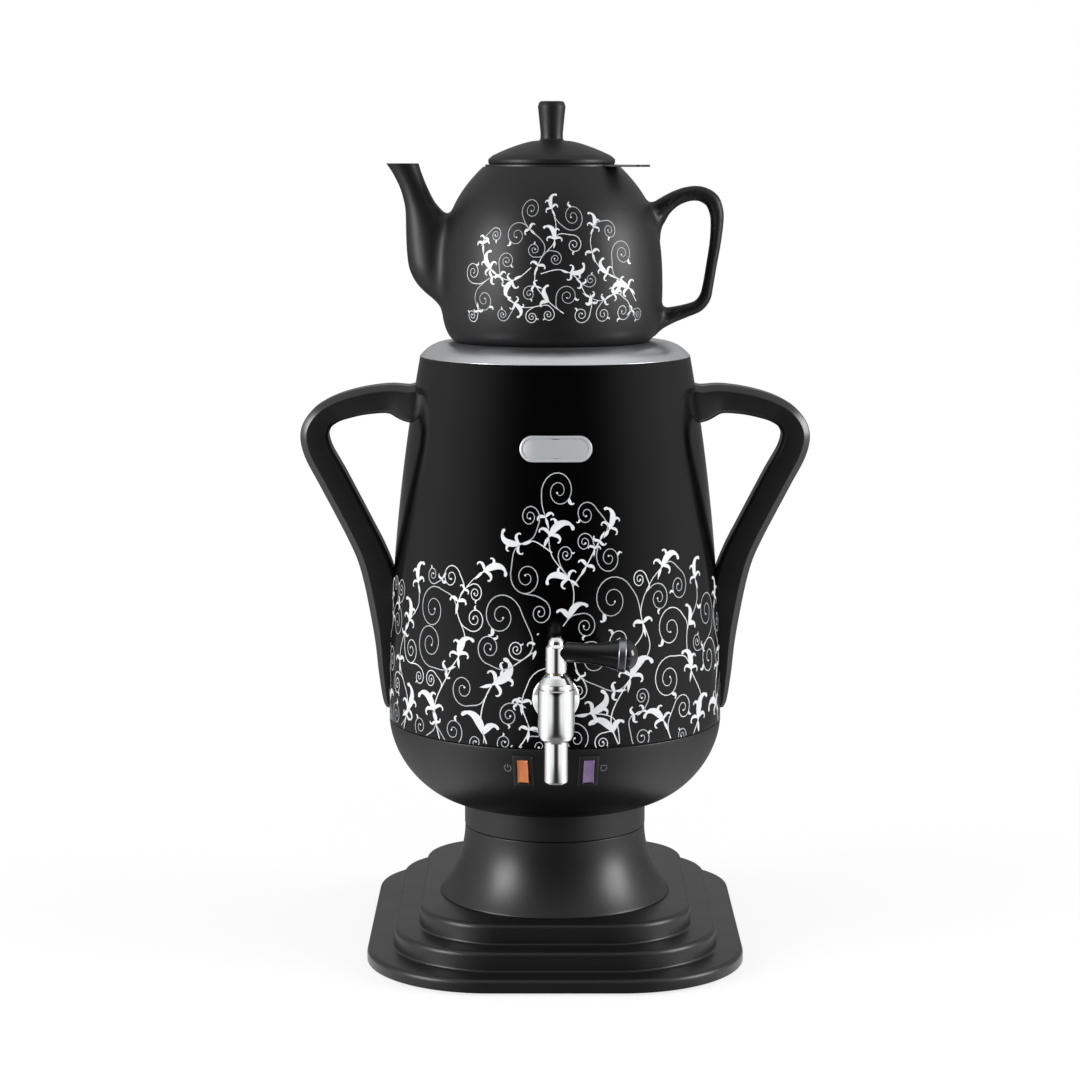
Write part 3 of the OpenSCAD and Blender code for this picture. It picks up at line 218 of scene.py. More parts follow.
def freezeModifiers(piece):
    bpy.context.view_layer.update()
    shape = piece.evaluated_get(bpy.context.evaluated_depsgraph_get())
    mesh = bpy.data.meshes.new_from_object(shape)
    piece.modifiers.clear()
    piece.data = mesh


def softenEdges(piece, width, segments=2, angle=35):
    change = piece.modifiers.new("softEdges", "BEVEL")
    change.width, change.segments = width * 0.001, segments
    change.limit_method, change.angle_limit = "ANGLE", math.radians(angle)
    freezeModifiers(piece)
    tidyMesh(piece, 40)


def cornersOf(mesh):
    # corner vertices, their places in millimetres and the normal of each corner's face
    count = len(mesh.loops)
    vertex = np.zeros(count, np.int64)
    mesh.loops.foreach_get("vertex_index", vertex)
    totals = np.zeros(len(mesh.polygons), np.int64)
    mesh.polygons.foreach_get("loop_total", totals)
    flat = np.zeros(len(mesh.polygons) * 3)
    mesh.polygons.foreach_get("normal", flat)
    return vertex, pointsOf(mesh) * 1000, np.repeat(flat.reshape(-1, 3), totals, axis=0)


def setTrueNormals(piece, normalAt, within=28):
    # corners take the surface's own normal, so a cut leaves no ripple in the gloss around it
    mesh = piece.data
    vertex, places, flat = cornersOf(mesh)
    true = normalAt(places)[vertex]
    near = np.einsum("ij,ij->i", true, flat) > math.cos(math.radians(within))
    mesh.normals_split_custom_set(np.where(near[:, None], true, flat).tolist())
    mesh.update()


def lineNormals(line, centre=(0, 0)):
    line = np.asarray(line, float)
    along = np.diff(line, axis=0)
    lengths = np.linalg.norm(along, axis=1)
    keep = lengths > 1e-7
    along = along[keep] / lengths[keep][:, None]
    starts = line[:-1][keep]
    lengths = lengths[keep]
    side = np.stack([along[:, 1], -along[:, 0]], 1)
    padded = np.concatenate([side[:1], side, side[-1:]])
    corner = padded[:-1] + padded[1:]
    corner /= np.linalg.norm(corner, axis=1)[:, None]
    sharp = np.einsum("ij,ij->i", padded[:-1], padded[1:]) < 0.8

    def normalAt(places):
        away = places[:, :2] - np.array(centre)
        r = np.hypot(away[:, 0], away[:, 1])
        q = np.stack([r, places[:, 2]], 1)
        best = np.full(len(q), 1e9)
        out = np.zeros((len(q), 2))
        for k in range(len(starts)):
            t = np.clip(((q - starts[k]) @ along[k]) / lengths[k], 0, 1)
            gap = np.linalg.norm(q - starts[k] - along[k] * (t * lengths[k])[:, None], axis=1)
            a = side[k] if sharp[k] else corner[k]
            b = side[k] if sharp[k + 1] else corner[k + 1]
            closer = gap < best
            best[closer] = gap[closer]
            out[closer] = (a * (1 - t)[:, None] + b * t[:, None])[closer]
        out /= np.linalg.norm(out, axis=1)[:, None] + 1e-12
        unit = away / (r[:, None] + 1e-9)
        return np.stack([unit[:, 0] * out[:, 0], unit[:, 1] * out[:, 0], out[:, 1]], 1)

    return normalAt


def smoothStations(stations, steps):
    s = np.asarray(stations, float)
    rows = []
    for i in range(len(s) - 1):
        a, b, c, d = s[max(i - 1, 0)], s[i], s[i + 1], s[min(i + 2, len(s) - 1)]
        for k in range(steps):
            t = k / steps
            rows.append(0.5 * (2 * b + (c - a) * t + (2 * a - 5 * b + 4 * c - d) * t * t
                               + (3 * b - a - 3 * c + d) * t ** 3))
    rows.append(s[-1])
    return np.array(rows)


def rideOn(piece, body, slot, *nodes, material=None):
    # dresses the piece in its slot's finish unless another is named
    piece.data.materials.clear()
    piece.data.materials.append(material or slotFinish[slot])
    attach(piece, body)
    if nodes:
        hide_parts(*nodes)
    return piece


# ---- finishes: name, what the real one is, and what it gives the eye

def finish(name, colour, roughness, metallic=0.0, ior=1.5, specular=0.5, mottle=0.0, mottleSize=20.0,
           grain=0.0, grainSize=1.0, roughSpread=0.04, turned=0.0):
    # mottle: share of brightness that drifts over mottleSize mm; grain: bump height in micrometres
    # over grainSize mm; turned: bump height in micrometres of the fine rings that a lathe leaves
    material = bpy.data.materials.new(name)
    material.use_nodes = True
    tree = material.node_tree
    shader = tree.nodes["Principled BSDF"]
    shader.inputs["Metallic"].default_value = metallic
    if metallic < 0.5:
        shader.inputs["IOR"].default_value = ior
    shader.inputs["Specular IOR Level"].default_value = specular
    place = addNode(tree, "ShaderNodeTexCoord").outputs["Object"]
    drift = addNode(tree, "ShaderNodeTexNoise", {"Scale": 1000 / mottleSize, "Detail": 3.0},
                    {"Vector": place})
    ramp = addNode(tree, "ShaderNodeValToRGB", links={"Fac": drift.outputs["Fac"]})
    for mark, position, level in zip(ramp.color_ramp.elements, (0.3, 0.7), (1 - mottle, 1 + mottle)):
        mark.position = position
        mark.color = tuple(min(1, c * level) for c in hexColour(colour)[:3]) + (1,)
    tree.links.new(ramp.outputs["Color"], shader.inputs["Base Color"])
    spread = rangeNode(tree, drift.outputs["Fac"], 0.0, 1.0, max(0.02, roughness - roughSpread),
                       roughness + roughSpread)
    tree.links.new(spread, shader.inputs["Roughness"])
    if turned:
        apart = apartNode(tree, place)
        flat = addNode(tree, "ShaderNodeCombineXYZ", links={"X": apart["X"], "Y": apart["Y"]})
        reach = addNode(tree, "ShaderNodeVectorMath", links={0: flat.outputs["Vector"]}, operation="LENGTH")
        rings = addNode(tree, "ShaderNodeCombineXYZ", links={"X": reach.outputs["Value"], "Y": apart["Z"]})
        place = rings.outputs["Vector"]
    if grain or turned:
        texture = addNode(tree, "ShaderNodeTexNoise", {"Scale": 1000 / grainSize, "Detail": 2.0},
                          {"Vector": place})
        bump = addNode(tree, "ShaderNodeBump", {"Strength": 0.6, "Distance": (grain or turned) * 1e-6},
                       {"Height": texture.outputs["Fac"]})
        tree.links.new(bump.outputs["Normal"], shader.inputs["Normal"])
    return material


# stove enamel on steel sheet: deep black, mirror-like but a little orange-peeled
jacketEnamel = finish("stoveEnamelBlack", "#040405", 0.16, ior=1.45, specular=0.25, grain=1.2, grainSize=1.6,
                      roughSpread=0.02)
# injection-moulded ABS with a fine spark-eroded texture: satin charcoal, broad soft highlights
housingAbs = finish("mouldedAbsCharcoal", "#0d0d0e", 0.37, specular=0.36, ior=1.54, grain=5, grainSize=0.5,
                    mottle=0.04)
# the same plastic, polished tool: the handles shine more and show crisp edges
handleAbs = finish("mouldedAbsBlack", "#131314", 0.3, ior=1.54, grain=3, grainSize=0.6, mottle=0.04)
# satin stainless steel, spun on a lathe: rings of fine scratches stretch the light
ringSteel = finish("spunStainless", "#c6c8ca", 0.33, metallic=1, turned=2.2, grainSize=0.35, mottle=0.03)
# die-cast plate under silver lacquer: pale grey from every side, with a soft glint on its rim
badgeSilver = finish("silverLacquer", "#adafb2", 0.34, metallic=0.35, grain=2, grainSize=0.5, mottle=0.03)
# chromed brass: white where it sees the studio, black where it sees the dark behind the camera
tapChrome = finish("chromedBrass", "#eceded", 0.07, metallic=1, grain=0.5, grainSize=3, roughSpread=0.015)
# phenolic moulding: glossy near-black lever and its end
leverPhenolic = finish("phenolicBlack", "#0e0e0f", 0.16, grain=1.5, grainSize=1.2)
leverSteel = finish("turnedSteelRing", "#8d9094", 0.3, metallic=1, grain=2, grainSize=0.4)
# tinted polycarbonate rockers: smooth, slightly waxy
orangeLens = finish("polycarbonateOrange", "#b56a3c", 0.24, ior=1.58, mottle=0.1, mottleSize=5)
violetLens = finish("polycarbonateViolet", "#6d5a7c", 0.24, ior=1.58, mottle=0.1, mottleSize=5)
switchNylon = finish("nylonBlack", "#111112", 0.4, grain=3, grainSize=0.5)
# satin-glazed stoneware: near-black glaze over clay, slightly wavy, sheen rather than mirror
potGlaze = finish("glazedStoneware", "#0b0b0d", 0.46, ior=1.5, specular=0.32, grain=5, grainSize=7,
                  mottle=0.06, mottleSize=14)
infuserNylon = finish("infuserNylon", "#131314", 0.42, grain=3, grainSize=0.6)
# fired transfer print: pale silver, thin, a little rough
printSilver = finish("transferPrintSilver", "#c9cbcd", 0.38, ior=1.5, mottle=0.08, mottleSize=12)
printGrey = finish("transferPrintGrey", "#a2a5a8", 0.42, ior=1.5, mottle=0.12, mottleSize=12)
# faint pad print on the housing
padGrey = finish("padPrintGrey", "#5c5e61", 0.5, ior=1.5)
# the rest keeps its CAD shape
rubber = finish("nitrileRubber", "#171717", 0.75, grain=12, grainSize=0.8)
silicone = finish("siliconeGasket", "#d6d1c6", 0.5, grain=3, grainSize=1)
platePaint = finish("powderCoatBlack", "#1c1c1d", 0.55, grain=8, grainSize=0.7)
zincSteel = finish("zincPlatedSteel", "#b9bcbf", 0.3, metallic=1, grain=2, grainSize=0.6, mottle=0.05)
tankSteel = finish("drawnStainless", "#bfc1c3", 0.26, metallic=1, turned=1.5, grainSize=0.5, mottle=0.04)
castAluminium = finish("castAluminium", "#b4b6b8", 0.5, metallic=1, grain=10, grainSize=1.2)
elementSteel = finish("heatTintedSteel", "#7b7370", 0.42, metallic=1, grain=3, grainSize=0.8, mottle=0.15)
bakelite = finish("bakeliteBrown", "#5c4330", 0.35, grain=4, grainSize=0.9, mottle=0.1)
steatite = finish("steatiteCeramic", "#dcd5c6", 0.55, grain=5, grainSize=0.8)
contactBrass = finish("contactBrass", "#c9a659", 0.28, metallic=1, grain=2, grainSize=0.6)

slotFinish = {
    "black_rubber": rubber, "gasket_silicone": silicone, "plate_paint": platePaint,
    "fixing_steel": zincSteel, "housing_plastic": housingAbs, "jacket_paint": jacketEnamel,
    "badge_steel": badgeSilver, "ring_steel": ringSteel, "tank_steel": tankSteel,
    "heater_aluminium": castAluminium, "element_steel": elementSteel, "thermostat_plastic": bakelite,
    "fuse_ceramic": steatite, "handle_plastic": handleAbs, "tap_chrome": tapChrome,
    "contact_brass": contactBrass, "lever_plastic": leverPhenolic, "lever_steel": leverSteel,
    "switch_plastic": switchNylon, "orange_lens": orangeLens, "violet_lens": violetLens,
    "teapot_glaze": potGlaze, "infuser_plastic": infuserNylon, "basket_steel": tankSteel,
}
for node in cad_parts.values():
    for place in node.material_slots:
        place.material = slotFinish[place.material.name]
print("finishes made")


# ---- plinth: three tiers with rounded corners, lofted as one shell

plinth = {
    "halfWidth": 106, "front": 106, "back": 148, "frontRadius": 70, "backRadius": 52,
    "frontShare": 0.77, "backShare": 0.4,
    "insets": (0, 15, 29.5), "tops": (9, 20, 31.5), "skirt": 1.5, "edge": 3, "cove": 1.2, "wall": 2.6,
}


def tierLoop(inset, grow, z, arcSteps=26):
    p = plinth
    hw, f, b = p["halfWidth"] - inset, p["front"] - inset, p["back"] - inset
    fr, br = p["frontRadius"] - inset * p["frontShare"], p["backRadius"] - inset * p["backShare"]
    corners = [(hw - br, b - br, br), (br - hw, b - br, br), (fr - hw, fr - f, fr), (hw - fr, fr - f, fr)]
    loop = []
    for k, (x, y, r) in enumerate(corners):
        for a in np.radians(np.linspace(90 * k, 90 * k + 90, arcSteps)):
            loop.append((x + (r + grow) * math.cos(a), y + (r + grow) * math.sin(a), z))
    return np.array(loop)


def makePlinth():
    p = plinth
    e, c = p["edge"], p["cove"]
    bottom = p["skirt"] + 3
    loops = [tierLoop(0, -p["wall"], bottom), tierLoop(0, -p["wall"], p["skirt"]),
             tierLoop(0, -0.4, p["skirt"]), tierLoop(0, 0, p["skirt"] + 0.4)]
    for i, (inset, top) in enumerate(zip(p["insets"], p["tops"])):
        for a in np.radians(np.linspace(0, 90, 7)):
            loops.append(tierLoop(inset, -e + e * math.cos(a), top - e + e * math.sin(a)))
        if i < 2:
            following = p["insets"][i + 1]
            for a in np.radians(np.linspace(0, 90, 5)):
                loops.append(tierLoop(following, c - c * math.sin(a), top + c - c * math.cos(a)))
    angles = np.arctan2(loops[-1][:, 1], loops[-1][:, 0])
    loops.append(np.stack([50 * np.cos(angles), 50 * np.sin(angles), np.full(len(angles), p["tops"][-1])], 1))
    return loft("plinthShell", loops, 30)


rideOn(makePlinth(), "body", "housing_plastic", "base_plinth")

# ---- neck: flared turned column

neck = {"topRadius": 51.4, "footRadius": 66.2, "foot": 31.5, "top": 71.3, "flare": 2.1, "wall": 3,
        "steps": 36}


def neckRadius(t):
    return neck["topRadius"] + (neck["footRadius"] - neck["topRadius"]) * (1 - t) ** neck["flare"]


def makeNeck():
    n = neck
    outer = [(neckRadius(t), n["foot"] + (n["top"] - n["foot"]) * t) for t in np.linspace(0, 1, n["steps"])]
    corners = [(n["footRadius"] - n["wall"] - 4, n["foot"])]
    corners += [(outer[0][0] - 0.1, n["foot"], 0.7)] + outer[1:-1]
    corners += [(n["topRadius"], n["top"] - 0.1, 0.4), (n["topRadius"] - 1.2, n["top"] - 0.1),
                (n["topRadius"] - n["wall"], n["top"] - 0.1)]
    return lathe("neckColumn", roundLine(corners, 4), 160)


rideOn(makeNeck(), "body", "housing_plastic", "neck_pedestal")

# ---- bowl with its collar, switch pockets and the flat pad for the mains inlet

seam = 133.6  # where the jacket stands on the bowl
bowl = {
    "collarRadius": 51.4, "collarBottom": 71.5, "curveBottom": 86.4, "lip": 133.5, "rim": 94.3,
    "curve": 1.78, "height": 47.2, "wall": 3, "steps": 48,
    "padWidth": 54, "padHeight": 27, "padFace": 93.3, "padInner": 53.3, "padZ": 118.1,
    "socketWidth": 27.4, "socketHeight": 19.9,
}
switch = {
    "turn": math.degrees(math.asin(18 / 94.3)), "drop": 12.6, "tilt": 17, "throw": 12,
    "pivotDepth": 1.4, "rockerWidth": 5.8, "rockerRadius": 6.9, "front": 3, "back": 2.4,
    "dish": 0.6, "caseWidth": 8.8, "caseHeight": 16.2, "bezelWidth": 11, "bezelHeight": 18.4,
    "bezelProud": 0.7, "bezelSink": 0.9, "windowWidth": 7.0, "windowHeight": 14.4, "depth": 11,
    "play": 0.15, "backWall": 0.9,
}


def bowlRadius(z):
    low = np.clip((seam - z) / bowl["height"], 0, 1) ** (bowl["curve"] / 2)
    swell = np.sqrt(1 - low ** 2) ** (2 / bowl["curve"])
    return bowl["collarRadius"] + (bowl["rim"] - bowl["collarRadius"]) * swell


def bowlLine(inset):
    a = np.radians(np.linspace(90, 0, bowl["steps"]))
    r = bowl["collarRadius"] - inset + (bowl["rim"] - bowl["collarRadius"]) * np.cos(a) ** (2 / bowl["curve"])
    z = seam - (bowl["height"] - inset) * np.sin(a) ** (2 / bowl["curve"])
    return list(zip(r, z))


def atSwitch(side):
    height = seam - switch["drop"]
    out = moveBy(0, -float(bowlRadius(height)), height)
    return turnBy(side * switch["turn"], "Z") @ out @ turnBy(switch["tilt"], "X")


def block(name, x0, x1, y0, y1, z0, z1):
    points = [(x, y, z) for z in (z0, z1) for y in (y0, y1) for x in (x0, x1)]
    faces = [(0, 2, 3, 1), (4, 5, 7, 6), (0, 1, 5, 4), (2, 6, 7, 3), (0, 4, 6, 2), (1, 3, 7, 5)]
    return makeMesh(name, points, faces)


def slab(name, width, height, front, back, z=0.0):
    # a block centred across and at the height z
    return block(name, -width / 2, width / 2, front, back, z - height / 2, z + height / 2)


def makeBowl():
    b = bowl
    collar = b["collarRadius"] + 0.2
    corners = [(collar, b["collarBottom"], 0.5), (collar, b["curveBottom"], 1.6)]
    corners += bowlLine(0)[2:-1] + [(b["rim"], b["lip"], 0.5)]
    inner = [(r, min(z, b["lip"])) for r, z in bowlLine(b["wall"])[::-1]]
    corners += [(b["rim"] - b["wall"], b["lip"])] + inner[1:]
    corners += [(b["collarRadius"] - b["wall"], b["collarBottom"])]
    line = roundLine(corners, 4, loop=True)
    piece = lathe("bowlShell", line, 256)
    pad = slab("pad", b["padWidth"], b["padHeight"], b["padInner"], b["padFace"], b["padZ"])
    softenEdges(pad, 1.6, 3)
    combine(piece, pad, "UNION")
    combine(piece, slab("socket", b["socketWidth"], b["socketHeight"], 30, 100, b["padZ"]))
    d = switch
    for side in (-1, 1):
        for part, deep in (("case", 12), ("bezel", d["bezelSink"])):
            cut = slab(part, d[part + "Width"] + 2 * d["play"], d[part + "Height"] + 2 * d["play"], -10, deep)
            cut.data.transform(atSwitch(side))
            combine(piece, cut)
    tidyMesh(piece, 30)
    setTrueNormals(piece, lineNormals(line))
    return piece


bowlPiece = rideOn(makeBowl(), "body", "housing_plastic", "bowl_housing")
print("plinth, neck and bowl made")


# ---- switches: frames in the bowl and the two rockers

def makeSwitchFrame(side, name):
    d = switch
    piece = slab(name, d["bezelWidth"], d["bezelHeight"], -d["bezelProud"], d["bezelSink"])
    softenEdges(piece, 0.45, 3)
    combine(piece, slab("case", d["caseWidth"], d["caseHeight"], 0.2, d["depth"]), "UNION")
    combine(piece, slab("window", d["windowWidth"], d["windowHeight"], -5, d["depth"] - d["backWall"]))
    piece.data.transform(atSwitch(side))
    tidyMesh(piece, 30)
    return piece


def makeRocker(side, name):
    # a dished front between two arcs about the pivot
    d = switch
    r = d["rockerRadius"]
    top = math.sqrt(r * r - d["front"] ** 2)
    low = math.sqrt(r * r - d["back"] ** 2)
    line = [(-d["front"] + d["dish"] * (1 - (z / top) ** 2), z) for z in np.linspace(-top, top, 17)]
    start, end = math.atan2(top, -d["front"]), math.atan2(low, d["back"])
    turns = list(np.linspace(start, end, 9)[1:]) + list(np.linspace(-end, -start, 9)[:-1])
    line += [(r * math.cos(a), r * math.sin(a)) for a in turns]
    n = len(line)
    w = d["rockerWidth"] / 2
    points = [(x, y, z) for x in (-w, w) for y, z in line]
    faces = [tuple(range(n)), tuple(range(2 * n - 1, n - 1, -1))]
    faces += [(k, (k + 1) % n, n + (k + 1) % n, n + k) for k in range(n)]
    piece = makeMesh(name, points, faces)
    softenEdges(piece, 0.55, 3, 40)
    piece.data.transform(atSwitch(side) @ moveBy(0, d["pivotDepth"], 0) @ turnBy(-d["throw"] / 2, "X"))
    return piece


for side, word, lens in ((-1, "left", "orange_lens"), (1, "right", "violet_lens")):
    rideOn(makeSwitchFrame(side, word + "SwitchFrame"), "body", "switch_plastic", word + "_switch_body")
    rideOn(makeRocker(side, word + "RockerCap"), word + "_switch", lens, word + "_rocker")
print("switches made")

# ---- jacket, plate and top ring

jacket = {"foot": 94.3, "draw": 18.6, "height": 205.4, "sheet": 0.8, "steps": 90, "around": 320}
jacket["arc"] = (jacket["height"] ** 2 + jacket["draw"] ** 2) / (2 * jacket["draw"])


def jacketRadius(z):
    # one upright arc that starts vertical at the seam
    return jacket["foot"] - jacket["arc"] + np.sqrt(jacket["arc"] ** 2 - (z - seam) ** 2)


def jacketCore(gap, low, high, steps, bottom, top):
    # the room inside the jacket's outer face, for cutting what leans on it
    rows = [(float(jacketRadius(z)) + gap, z) for z in np.linspace(low, high, steps)]
    return [(0, bottom)] + rows + [(0, top)]


def makeJacket():
    j = jacket
    heights = np.linspace(seam + 0.3, seam + j["height"], j["steps"])
    outer = [(float(jacketRadius(z)), z) for z in heights]
    inner = [(r - j["sheet"], z) for r, z in outer[::-1]]
    outer[0] = (outer[0][0] - 0.02, outer[0][1], 0.35)
    outer[-1] = (outer[-1][0], outer[-1][1], 0.3)
    return lathe("jacketSheet", roundLine(outer + inner, 3, loop=True), j["around"])


jacketPiece = rideOn(makeJacket(), "body", "jacket_paint", "body_jacket")

badge = {"width": 39, "height": 14, "centre": 295, "field": 0.9, "rim": 1.6, "rimWidth": 1.5, "crown": 0.35}


def stadiumLoop(width, height, count=22):
    loop = []
    half = (width - height) / 2
    for centre, start in ((half, -90), (-half, 90)):
        for a in np.radians(np.linspace(start, start + 180, count)):
            loop.append((centre + height / 2 * math.cos(a), height / 2 * math.sin(a)))
    return np.array(loop)


def makeBadge():
    # bent round the jacket: rings of (inset, lift off the sheet) close in to the middle line
    b = badge
    w, h, rim = b["width"], b["height"], b["rimWidth"]
    rings = [(0, -0.4), (0, b["rim"] - 0.5), (0.15, b["rim"] - 0.15), (0.5, b["rim"]), (rim - 0.45, b["rim"]),
             (rim - 0.1, b["rim"] - 0.2), (rim, b["field"] + 0.1), (rim + 0.3, b["field"])]
    rings += [(inset, b["field"] + b["crown"] * (1 - ((h / 2 - inset) / (h / 2 - rim)) ** 2))
              for inset in np.linspace(rim + 0.7, h / 2 - 0.05, 9)]
    loops = []
    for inset, lift in rings:
        flat = stadiumLoop(w - 2 * inset, h - 2 * inset)
        z = b["centre"] + flat[:, 1]
        reach = jacketRadius(z) + lift
        turn = np.arcsin(flat[:, 0] / reach)
        loops.append(np.stack([reach * np.sin(turn), -reach * np.cos(turn), z], 1))
    return loft("blankPlate", loops, 28)


rideOn(makeBadge(), "body", "badge_steel", "badge_plate")

ring = {"domeRadius": 19, "domeR": 60.2, "domeZ": 328, "seat": 347, "mouth": 46, "sheet": 1, "foot": 339,
        "skirt": 331, "tuck": 335}


def domeArc(radius, start, end, count):
    return [(ring["domeR"] + radius * math.cos(a), ring["domeZ"] + radius * math.sin(a))
            for a in np.linspace(start, end, count)]


def makeTopRing():
    g = ring
    start = math.asin((g["foot"] - g["domeZ"]) / g["domeRadius"])
    arc = domeArc(g["domeRadius"], start, math.pi / 2, 20)
    inner = domeArc(g["domeRadius"] - g["sheet"], math.pi / 2, start + 0.06, 12)
    rim, lining, within = arc[0][0], inner[-1][0], g["mouth"] + g["sheet"]
    corners = [(rim, arc[0][1] + 0.25)] + arc[1:]
    corners += [(g["mouth"], g["seat"], 1.3), (g["mouth"], g["skirt"]), (within, g["skirt"]),
                (within, g["seat"] - g["sheet"], 0.6)]
    corners += inner + [(lining, g["tuck"]), (lining + 0.7, g["tuck"]),
                        (rim - 1.0, g["foot"] + 0.1), (rim, g["foot"] + 0.05)]
    return lathe("spunRing", roundLine(corners, 4, loop=True), 224)


rideOn(makeTopRing(), "body", "ring_steel", "top_ring", "mouth_collar")
print("jacket, plate and ring made")

# ---- side handles: one bent bar with a bevelled outer band and a bevelled inner edge, mirrored

handle = {
    "rootX": 82.2, "rootZ": 312.8, "halfDepth": 10, "bend": 14, "drawnReach": 61, "reach": 142.94,
    # x and z from the root, half width, share of the depth
    "stations": [
        (-12, 0, 12, 1.2), (-1, -0.4, 10.4, 1.15), (10, 2.2, 8.2, 1), (23, 1.2, 7.6, 0.95),
        (34.5, -1.4, 7.3, 0.92), (43, -4.7, 7, 0.9), (49.5, -9.6, 7.2, 0.9), (53.2, -17.4, 7.8, 0.9),
        (51.2, -27.6, 8, 0.9), (43.8, -41.5, 8.2, 0.9), (35.7, -57, 8.2, 0.9), (27.9, -72.2, 8.2, 0.92),
        (21.6, -85.5, 8.5, 0.96), (17.2, -99, 9, 1), (14.6, -115, 8.4, 1.04), (13.2, -135, 6.5, 1.06),
        (12.3, -153, 5.5, 1.04), (11.4, -168, 4.2, 0.98), (10.6, -173, 3, 0.9),
    ],
    "band": 3.6, "bandDrop": 2.6, "lipWidth": 1.8, "lipDrop": 1.6,
}


def handleSection(halfWidth, halfDepth):
    # across the bar (outer edge positive) and along its depth
    h = handle
    band, drop = min(h["band"], halfWidth * 0.5), h["bandDrop"]
    lip, lipDrop = min(h["lipWidth"], halfWidth * 0.3), h["lipDrop"]
    corners = [
        (halfWidth, halfDepth - drop, 1.2), (halfWidth - band, halfDepth, 0.7),
        (-halfWidth + lip, halfDepth - 0.4, 0.7), (-halfWidth, halfDepth - 0.4 - lipDrop, 0.9),
        (-halfWidth, -halfDepth + 0.4 + lipDrop, 0.9), (-halfWidth + lip, -halfDepth + 0.4, 0.7),
        (halfWidth - band, -halfDepth, 0.7), (halfWidth, -halfDepth + drop, 1.2),
    ]
    return roundLine(corners, 3, loop=True)


def makeHandle(side, name):
    h = handle
    stretch = (h["reach"] - h["rootX"]) / h["drawnReach"]
    rows = [(x + max(0, x - h["bend"]) * (stretch - 1), z, w, d) for x, z, w, d in h["stations"]]
    path = smoothStations(rows, 6)
    loops = []
    for i, (x, z, w, d) in enumerate(path):
        ahead = path[min(i + 1, len(path) - 1)][:2] - path[max(i - 1, 0)][:2]
        across = np.array([-ahead[1], ahead[0]]) / np.linalg.norm(ahead)
        section = handleSection(w, d * h["halfDepth"])
        loops.append(np.stack([side * (h["rootX"] + x + across[0] * section[:, 0]), section[:, 1],
                               h["rootZ"] + z + across[1] * section[:, 0]], 1))
    piece = loft(name, loops, 26)
    combine(piece, lathe("core", jacketCore(0.02, seam, 339, 60, seam, 345), 192))
    tidyMesh(piece, 26)
    return piece


for side, word in ((-1, "left"), (1, "right")):
    rideOn(makeHandle(side, word + "BentHandle"), "body", "handle_plastic", word + "_handle")
print("handles made")

# ---- tap: turned chromed pieces about an upright axis, with its lever

tap = {"y": -125, "shankZ": 162, "leverZ": 192.9, "droop": 3.5}


def latheAcross(name, line, count, z):
    # a lathe about the level axis from the body to the tap: heights in the line run forwards
    piece = lathe(name, line, count)
    piece.data.transform(moveBy(0, 0, z) @ turnBy(90, "X"))
    return piece


def makeTapBody():
    barrel = roundLine([(0, 173), (9.69, 173, 0.5), (9.69, 150.8), (9.5, 148.6, 3), (8.6, 146.2, 2),
                        (6.9, 144.9, 0.6), (0, 144.8)], 5)
    piece = lathe("tapBarrel", barrel, 128, (0, tap["y"]))
    boss = roundLine([(0, 107.3), (7.6, 107.3, 0.7), (7.6, 118), (0, 118)], 4)
    combine(piece, latheAcross("boss", boss, 96, tap["shankZ"]), "UNION")
    bore = roundLine([(0, 174), (6.05, 174), (6.05, 154), (3.4, 154), (4.2, 144), (0, 144)], 1)
    combine(piece, lathe("bore", bore, 64, (0, tap["y"])))
    tidyMesh(piece, 34)
    return piece


def makeEscutcheon():
    line = roundLine([(0, 84), (12.6, 84), (12.9, 92.2), (12.8, 96.6, 1.1), (9.4, 98.2, 4), (0, 98.6)], 7)
    piece = latheAcross("tapRose", line, 128, tap["shankZ"])
    combine(piece, lathe("core", jacketCore(0.05, 140, 190, 20, 140, 190), 320))
    combine(piece, latheAcross("bore", [(0, 60), (6.2, 60), (6.2, 120), (0, 120)], 64, tap["shankZ"]))
    tidyMesh(piece, 30)
    return piece


def turned(name, corners, steps=5, count=96):
    return lathe(name, roundLine(corners, steps), count, (0, tap["y"]))


rideOn(makeTapBody(), "body", "tap_chrome", "tap_body")
rideOn(makeEscutcheon(), "body", "tap_chrome", "tap_escutcheon")
rideOn(turned("tapSpout", [(4.2, 149.7), (4.9, 149.7), (4.9, 144.8), (6.4, 144.7, 0.3), (6.3, 123.6, 0.6),
                           (5.6, 122.4, 0.6), (4.4, 122.4, 0.3), (4.2, 124), (4.2, 149.7)]),
       "body", "tap_chrome", "tap_nozzle")
rideOn(turned("tapBonnet", [(3.05, 169), (7, 169), (7, 173.02), (9.1, 173.02, 0.4), (9.1, 175.9, 0.9),
                            (6.9, 179.4, 1.4), (5.0, 181.15, 0.5), (3.05, 181.15)]),
       "body", "tap_chrome", "tap_bonnet")


def makeCap():
    piece = turned("tapCap", [(0, 181.5), (5.1, 181.5, 0.3), (5.6, 182.1, 0.3), (5.6, 195.4, 0.5),
                              (4.2, 196.9, 0.5), (3.9, 198.6, 1.4), (2.6, 200.6, 1.6), (0, 200.8)], 6)
    combine(piece, lathe("socket", [(0, 180), (3.0, 180), (3.0, 187.4), (0, 187.4)], 48, (0, tap["y"])))
    tidyMesh(piece, 34)
    return piece


rideOn(makeCap(), "tap_turner", "tap_chrome", "tap_cap")


def alongLever(name, line):
    piece = lathe(name, line, 96)
    piece.data.transform(moveBy(0, tap["y"], tap["leverZ"]) @ turnBy(90 + tap["droop"], "Y"))
    return piece


lever = {"radius": 5.3, "flare": 8.1, "length": 32.4, "straight": 0.42, "ring": 8.9, "ringLength": 4.2,
         "endRadius": 7.8, "endLength": 6.4, "pin": 1.8, "pinRoom": 3.4}


